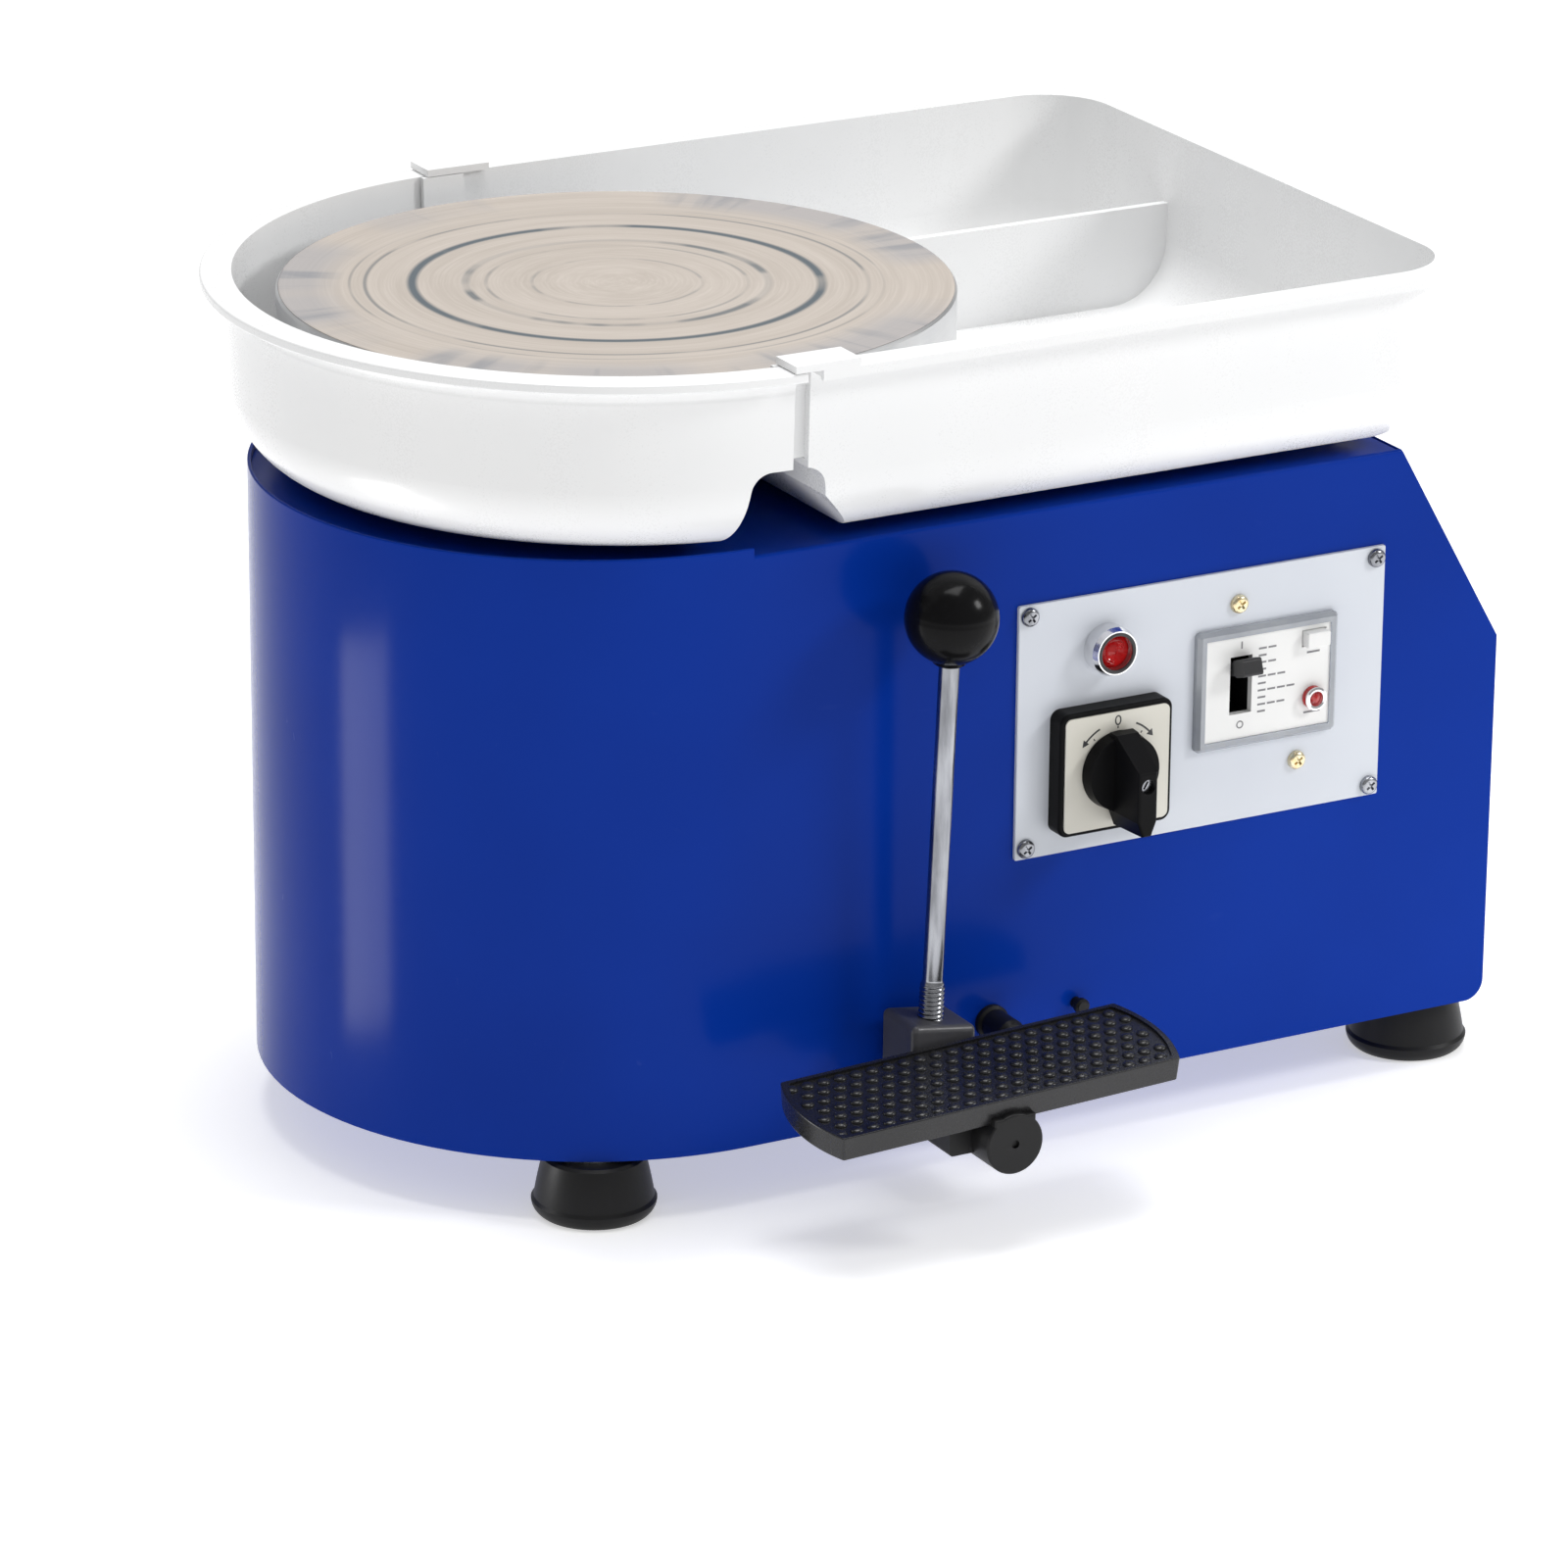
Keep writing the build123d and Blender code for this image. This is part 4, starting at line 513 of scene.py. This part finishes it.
# ---------------------------------------------------------------- hand lever
ROD_FOOT = Vector((SHAFT.x, (BLOCK_LOW.y + BLOCK_HIGH.y) / 2 - 1.0 * MM, 66.0 * MM))
BALL_RADIUS = (BALL_HIGH.x - BALL_LOW.x) / 2
BALL_CENTRE = Vector(((BALL_LOW.x + BALL_HIGH.x) / 2, (BALL_LOW.y + BALL_HIGH.y) / 2,
                      BALL_HIGH.z - BALL_RADIUS))


def rod_frame(origin):
    """A matrix at origin whose Z runs up the lever."""
    turn = (BALL_CENTRE - ROD_FOOT).to_track_quat("Z", "Y").to_matrix().to_4x4()
    return Matrix.Translation(origin) @ turn


def lever_ball():
    """The knob: a turned ball with a short neck and the faint line where its mould parted."""
    bm = bmesh.new()
    steps = 64
    neck = math.degrees(math.asin(6.2 * MM / BALL_RADIUS))
    profile = [(0.0, -BALL_RADIUS - 0.3 * MM), (5.4 * MM, -BALL_RADIUS - 0.3 * MM),
               (6.2 * MM, -BALL_RADIUS + 0.4 * MM)]
    for i in range(steps + 1):
        angle = math.radians(-90 + neck + (180 - neck) * i / steps)
        groove = 0.10 * MM if i == steps // 2 - 1 else 0.0
        profile.append(((BALL_RADIUS - groove) * math.cos(angle), (BALL_RADIUS - groove) * math.sin(angle)))
    profile[-1] = (0.0, BALL_RADIUS)
    add_lathe(bm, profile, rod_frame(BALL_CENTRE), 128)
    made = piece("lever_ball", bm, "control", "gloss_black")
    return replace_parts(made, "ball_knob")


def lever_stem():
    """The plated rod, with the thread that screws into its block cut at the foot."""
    bm = bmesh.new()
    matrix = rod_frame(ROD_FOOT)
    length = (BALL_CENTRE - ROD_FOOT).length - 5 * MM
    around, pitch, per_turn = 40, 1.75 * MM, 8
    crest, root, plain = 4.75 * MM, 4.10 * MM, 3.8 * MM
    thread_low, thread_high = -6.5 * MM, 17.6 * MM
    rows = [(thread_low - 0.4 * MM, lambda turn: 0.0)]
    count = int((thread_high - thread_low) / pitch * per_turn)
    for i in range(count + 1):
        height = thread_low + (thread_high - thread_low) * i / count
        fade = min(1.0, (count - i) / per_turn)

        def radius(turn, height=height, fade=fade):
            wave = abs(((height / pitch - turn) % 1.0) * 2 - 1)
            return root + (crest - root) * fade * min(1.0, 1.25 * wave)
        rows.append((height, radius))
    for height, size in ((thread_high + 0.4 * MM, plain), (thread_high + 1.4 * MM, plain),
                         (length - 1.0 * MM, plain), (length, plain), (length + 0.1 * MM, 0.0)):
        rows.append((height, lambda turn, size=size: size))
    rings = [[bm.verts.new(matrix @ Vector((shape(i / around) * math.cos(2 * math.pi * i / around),
                                            shape(i / around) * math.sin(2 * math.pi * i / around),
                                            height))) for i in range(around)] for height, shape in rows]
    for low, high in zip(rings, rings[1:]):
        for i in range(around):
            j = (i + 1) % around
            bm.faces.new((low[i], low[j], high[j], high[i]))
    bmesh.ops.remove_doubles(bm, verts=bm.verts, dist=1e-7)
    made = piece("lever_stem", bm, "control", "zinc_steel")
    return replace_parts(made, "lever_rod")


# ---------------------------------------------------------------- pedal
PEDAL_PITCH, PEDAL_TILT = 6.0, -2.2
PEDAL_TURN = (Matrix.Rotation(math.radians(PEDAL_PITCH), 4, "X")
              @ Matrix.Rotation(math.radians(PEDAL_TILT), 4, "Y"))


def pedal_frame():
    """A matrix at the middle of the pedal's top, with Z square to the tread."""
    up = PEDAL_TURN @ Vector((0, 0, 1))
    low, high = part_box("pedal")
    top = max(up.dot(v.co) for v in NODES["pedal"].data.vertices)
    middle = (low + high) / 2
    return Matrix.Translation(middle + up * (top - up.dot(middle))) @ PEDAL_TURN


def pedal_studs():
    """The tread: staggered rows of domed studs on the pedal's sunk floor."""
    bm = bmesh.new()
    matrix = pedal_frame()
    rows, columns = 7, 21
    reach, depth = 133.0 * MM, 43.0 * MM
    floor, radius, height = -1.0 * MM, 2.45 * MM, 1.3 * MM
    profile = [(radius, floor - 0.1 * MM), (radius, floor + 0.15 * MM)]
    profile += [(radius * math.cos(a), floor + 0.15 * MM + (height - 0.15 * MM) * math.sin(a))
                for a in (math.radians(18 * k) for k in range(1, 5))]
    profile += [(0.0, floor + height)]
    for row in range(rows):
        y = depth * (row / (rows - 1) - 0.5) * (1 - 1 / rows)
        shift = 0.25 if row % 2 else -0.25
        for column in range(columns):
            x = reach * ((column + shift) / (columns - 1) - 0.5)
            add_lathe(bm, profile, matrix @ Matrix.Translation((x, y, 0)), 14)
    return piece("pedal_studs", bm, "control", "pedal_black")


# ---------------------------------------------------------------- panel
def lamp_glass():
    """The pilot lamp's lens: a dome cut with rings, round a small bright middle."""
    bm = bmesh.new()
    centre = ((LENS_LOW.x + LENS_HIGH.x) / 2, (LENS_LOW.z + LENS_HIGH.z) / 2)
    radius = (LENS_HIGH.x - LENS_LOW.x) / 2
    depth = LENS_HIGH.y - LENS_LOW.y
    profile = [(0.0, 0.0), (radius, 0.0), (radius, depth * 0.70)]
    rings = 7
    for i in range(rings, 0, -1):
        share = i / rings
        dome = depth * (0.74 + 0.24 * math.sqrt(max(0.0, 1 - share * share)))
        profile.append((radius * (share - 0.03), dome))
        profile.append((radius * (share - 0.55 / rings), dome - 0.45 * MM))
    profile.append((0.0, depth))
    add_lathe(bm, profile, forward_frame(centre[0], LENS_HIGH.y, centre[1]), 64)
    made = piece("lamp_glass", bm, "stand", "red_lens", smooth=False)
    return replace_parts(made, "lamp_lens")


def trim_ring(name, node, inner, outer, finish):
    """A turned ring set on the front of a round node, between two shares of its radius."""
    low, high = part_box(node)
    radius = (high.x - low.x) / 2
    middle = (inner + outer) / 2
    profile = [(inner * radius, -0.6 * MM), (inner * radius, 0.05 * MM), (middle * radius, 0.30 * MM),
               (outer * radius, 0.05 * MM), (outer * radius, -0.6 * MM), (inner * radius, -0.6 * MM)]
    bm = bmesh.new()
    add_lathe(bm, profile, forward_frame((low.x + high.x) / 2, low.y, (low.z + high.z) / 2), 64)
    bmesh.ops.remove_doubles(bm, verts=bm.verts, dist=1e-7)
    return piece(name, bm, "stand", finish, smooth=False)


def stroke(bm, points, width, matrix, thickness=0.06 * MM):
    """A printed line of that width through points."""
    left, right = [], []
    for i, point in enumerate(points):
        before = Vector(points[max(0, i - 1)])
        after = Vector(points[min(len(points) - 1, i + 1)])
        along = (after - before).normalized()
        side = Vector((-along.y, along.x)) * width / 2
        left.append(Vector(point) + side)
        right.append(Vector(point) - side)
    add_plate(bm, [tuple(p) for p in left + right[::-1]], matrix, thickness)


def dial_marks():
    """Printed marks on the switch's dial: two turning arrows either side of a nought."""
    bm = bmesh.new()
    x, z = (DIAL_LOW.x + DIAL_HIGH.x) / 2, (DIAL_LOW.z + DIAL_HIGH.z) / 2
    matrix = forward_frame(x, DIAL_LOW.y, z)
    reach = 18.4 * MM
    for side in (-1, 1):
        middle = 90 - side * 38
        curve = arc(reach, middle + side * 13, middle - side * 9, 14)
        stroke(bm, curve, 0.7 * MM, matrix)
        tip = Vector(arc(reach, middle - side * 17, middle, 1)[0])
        base = Vector(curve[-1])
        across = Vector((-(tip - base).y, (tip - base).x)).normalized() * 1.5 * MM
        add_plate(bm, [tuple(base + across), tuple(tip), tuple(base - across)], matrix, 0.06 * MM)
    nought = [(1.1 * MM * math.cos(a), 19.0 * MM + 1.7 * MM * math.sin(a))
              for a in (2 * math.pi * k / 24 for k in range(25))]
    stroke(bm, nought, 0.55 * MM, matrix)
    for angle in (52, 90, 128):
        stroke(bm, [arc(15.9 * MM, angle, angle + 1, 1)[0], arc(16.8 * MM, angle, angle + 1, 1)[0]],
               0.5 * MM, matrix)
    return piece("dial_marks", bm, "stand", "ink", smooth=False)


def breaker_marks():
    """Printed marks on the breaker: on and off signs, plain bars and the slot's outline."""
    bm = bmesh.new()
    x, z = (FACE_LOW.x + FACE_HIGH.x) / 2, (FACE_LOW.z + FACE_HIGH.z) / 2
    matrix = forward_frame(x, FACE_LOW.y, z)
    slot_x, slot_z = -11.7 * MM, 1.0 * MM
    stroke(bm, [(slot_x, slot_z + 14.2 * MM), (slot_x, slot_z + 17.0 * MM)], 0.6 * MM, matrix)
    ring = [(slot_x + 1.3 * MM * math.cos(a), slot_z - 15.6 * MM + 1.3 * MM * math.sin(a))
            for a in (2 * math.pi * k / 24 for k in range(25))]
    stroke(bm, ring, 0.5 * MM, matrix)
    for row, length in enumerate((11.5, 7.5, 10.5, 4.0, 15.0, 5.5, 19.0, 5.0, 12.5, 4.5)):
        height = 14.0 * MM - row * 2.75 * MM
        for word in range(max(1, int(length // 4))):
            start = -4.2 * MM + word * 4.2 * MM
            end = min(start + 3.4 * MM, -4.2 * MM + length * MM)
            stroke(bm, [(start, height), (end, height)], 0.75 * MM, matrix)
    for height, left, right in ((9.2, 17.0, 22.6), (-14.4, 16.2, 23.4)):
        stroke(bm, [(left * MM, height * MM), (right * MM, height * MM)], 0.75 * MM, matrix)
    return piece("breaker_marks", bm, "stand", "grey_ink", smooth=False)


# ---------------------------------------------------------------- the scene
dress_nodes()
slip_film()
lever_ball()
lever_stem()
pedal_studs()
lamp_glass()
trim_ring("lamp_seal", "lamp_bezel", 0.70, 0.84, "ink")
trim_ring("indicator_ring", "breaker_lamp", 0.66, 1.02, "chrome")
dial_marks()
breaker_marks()
light_stage()
place_camera()
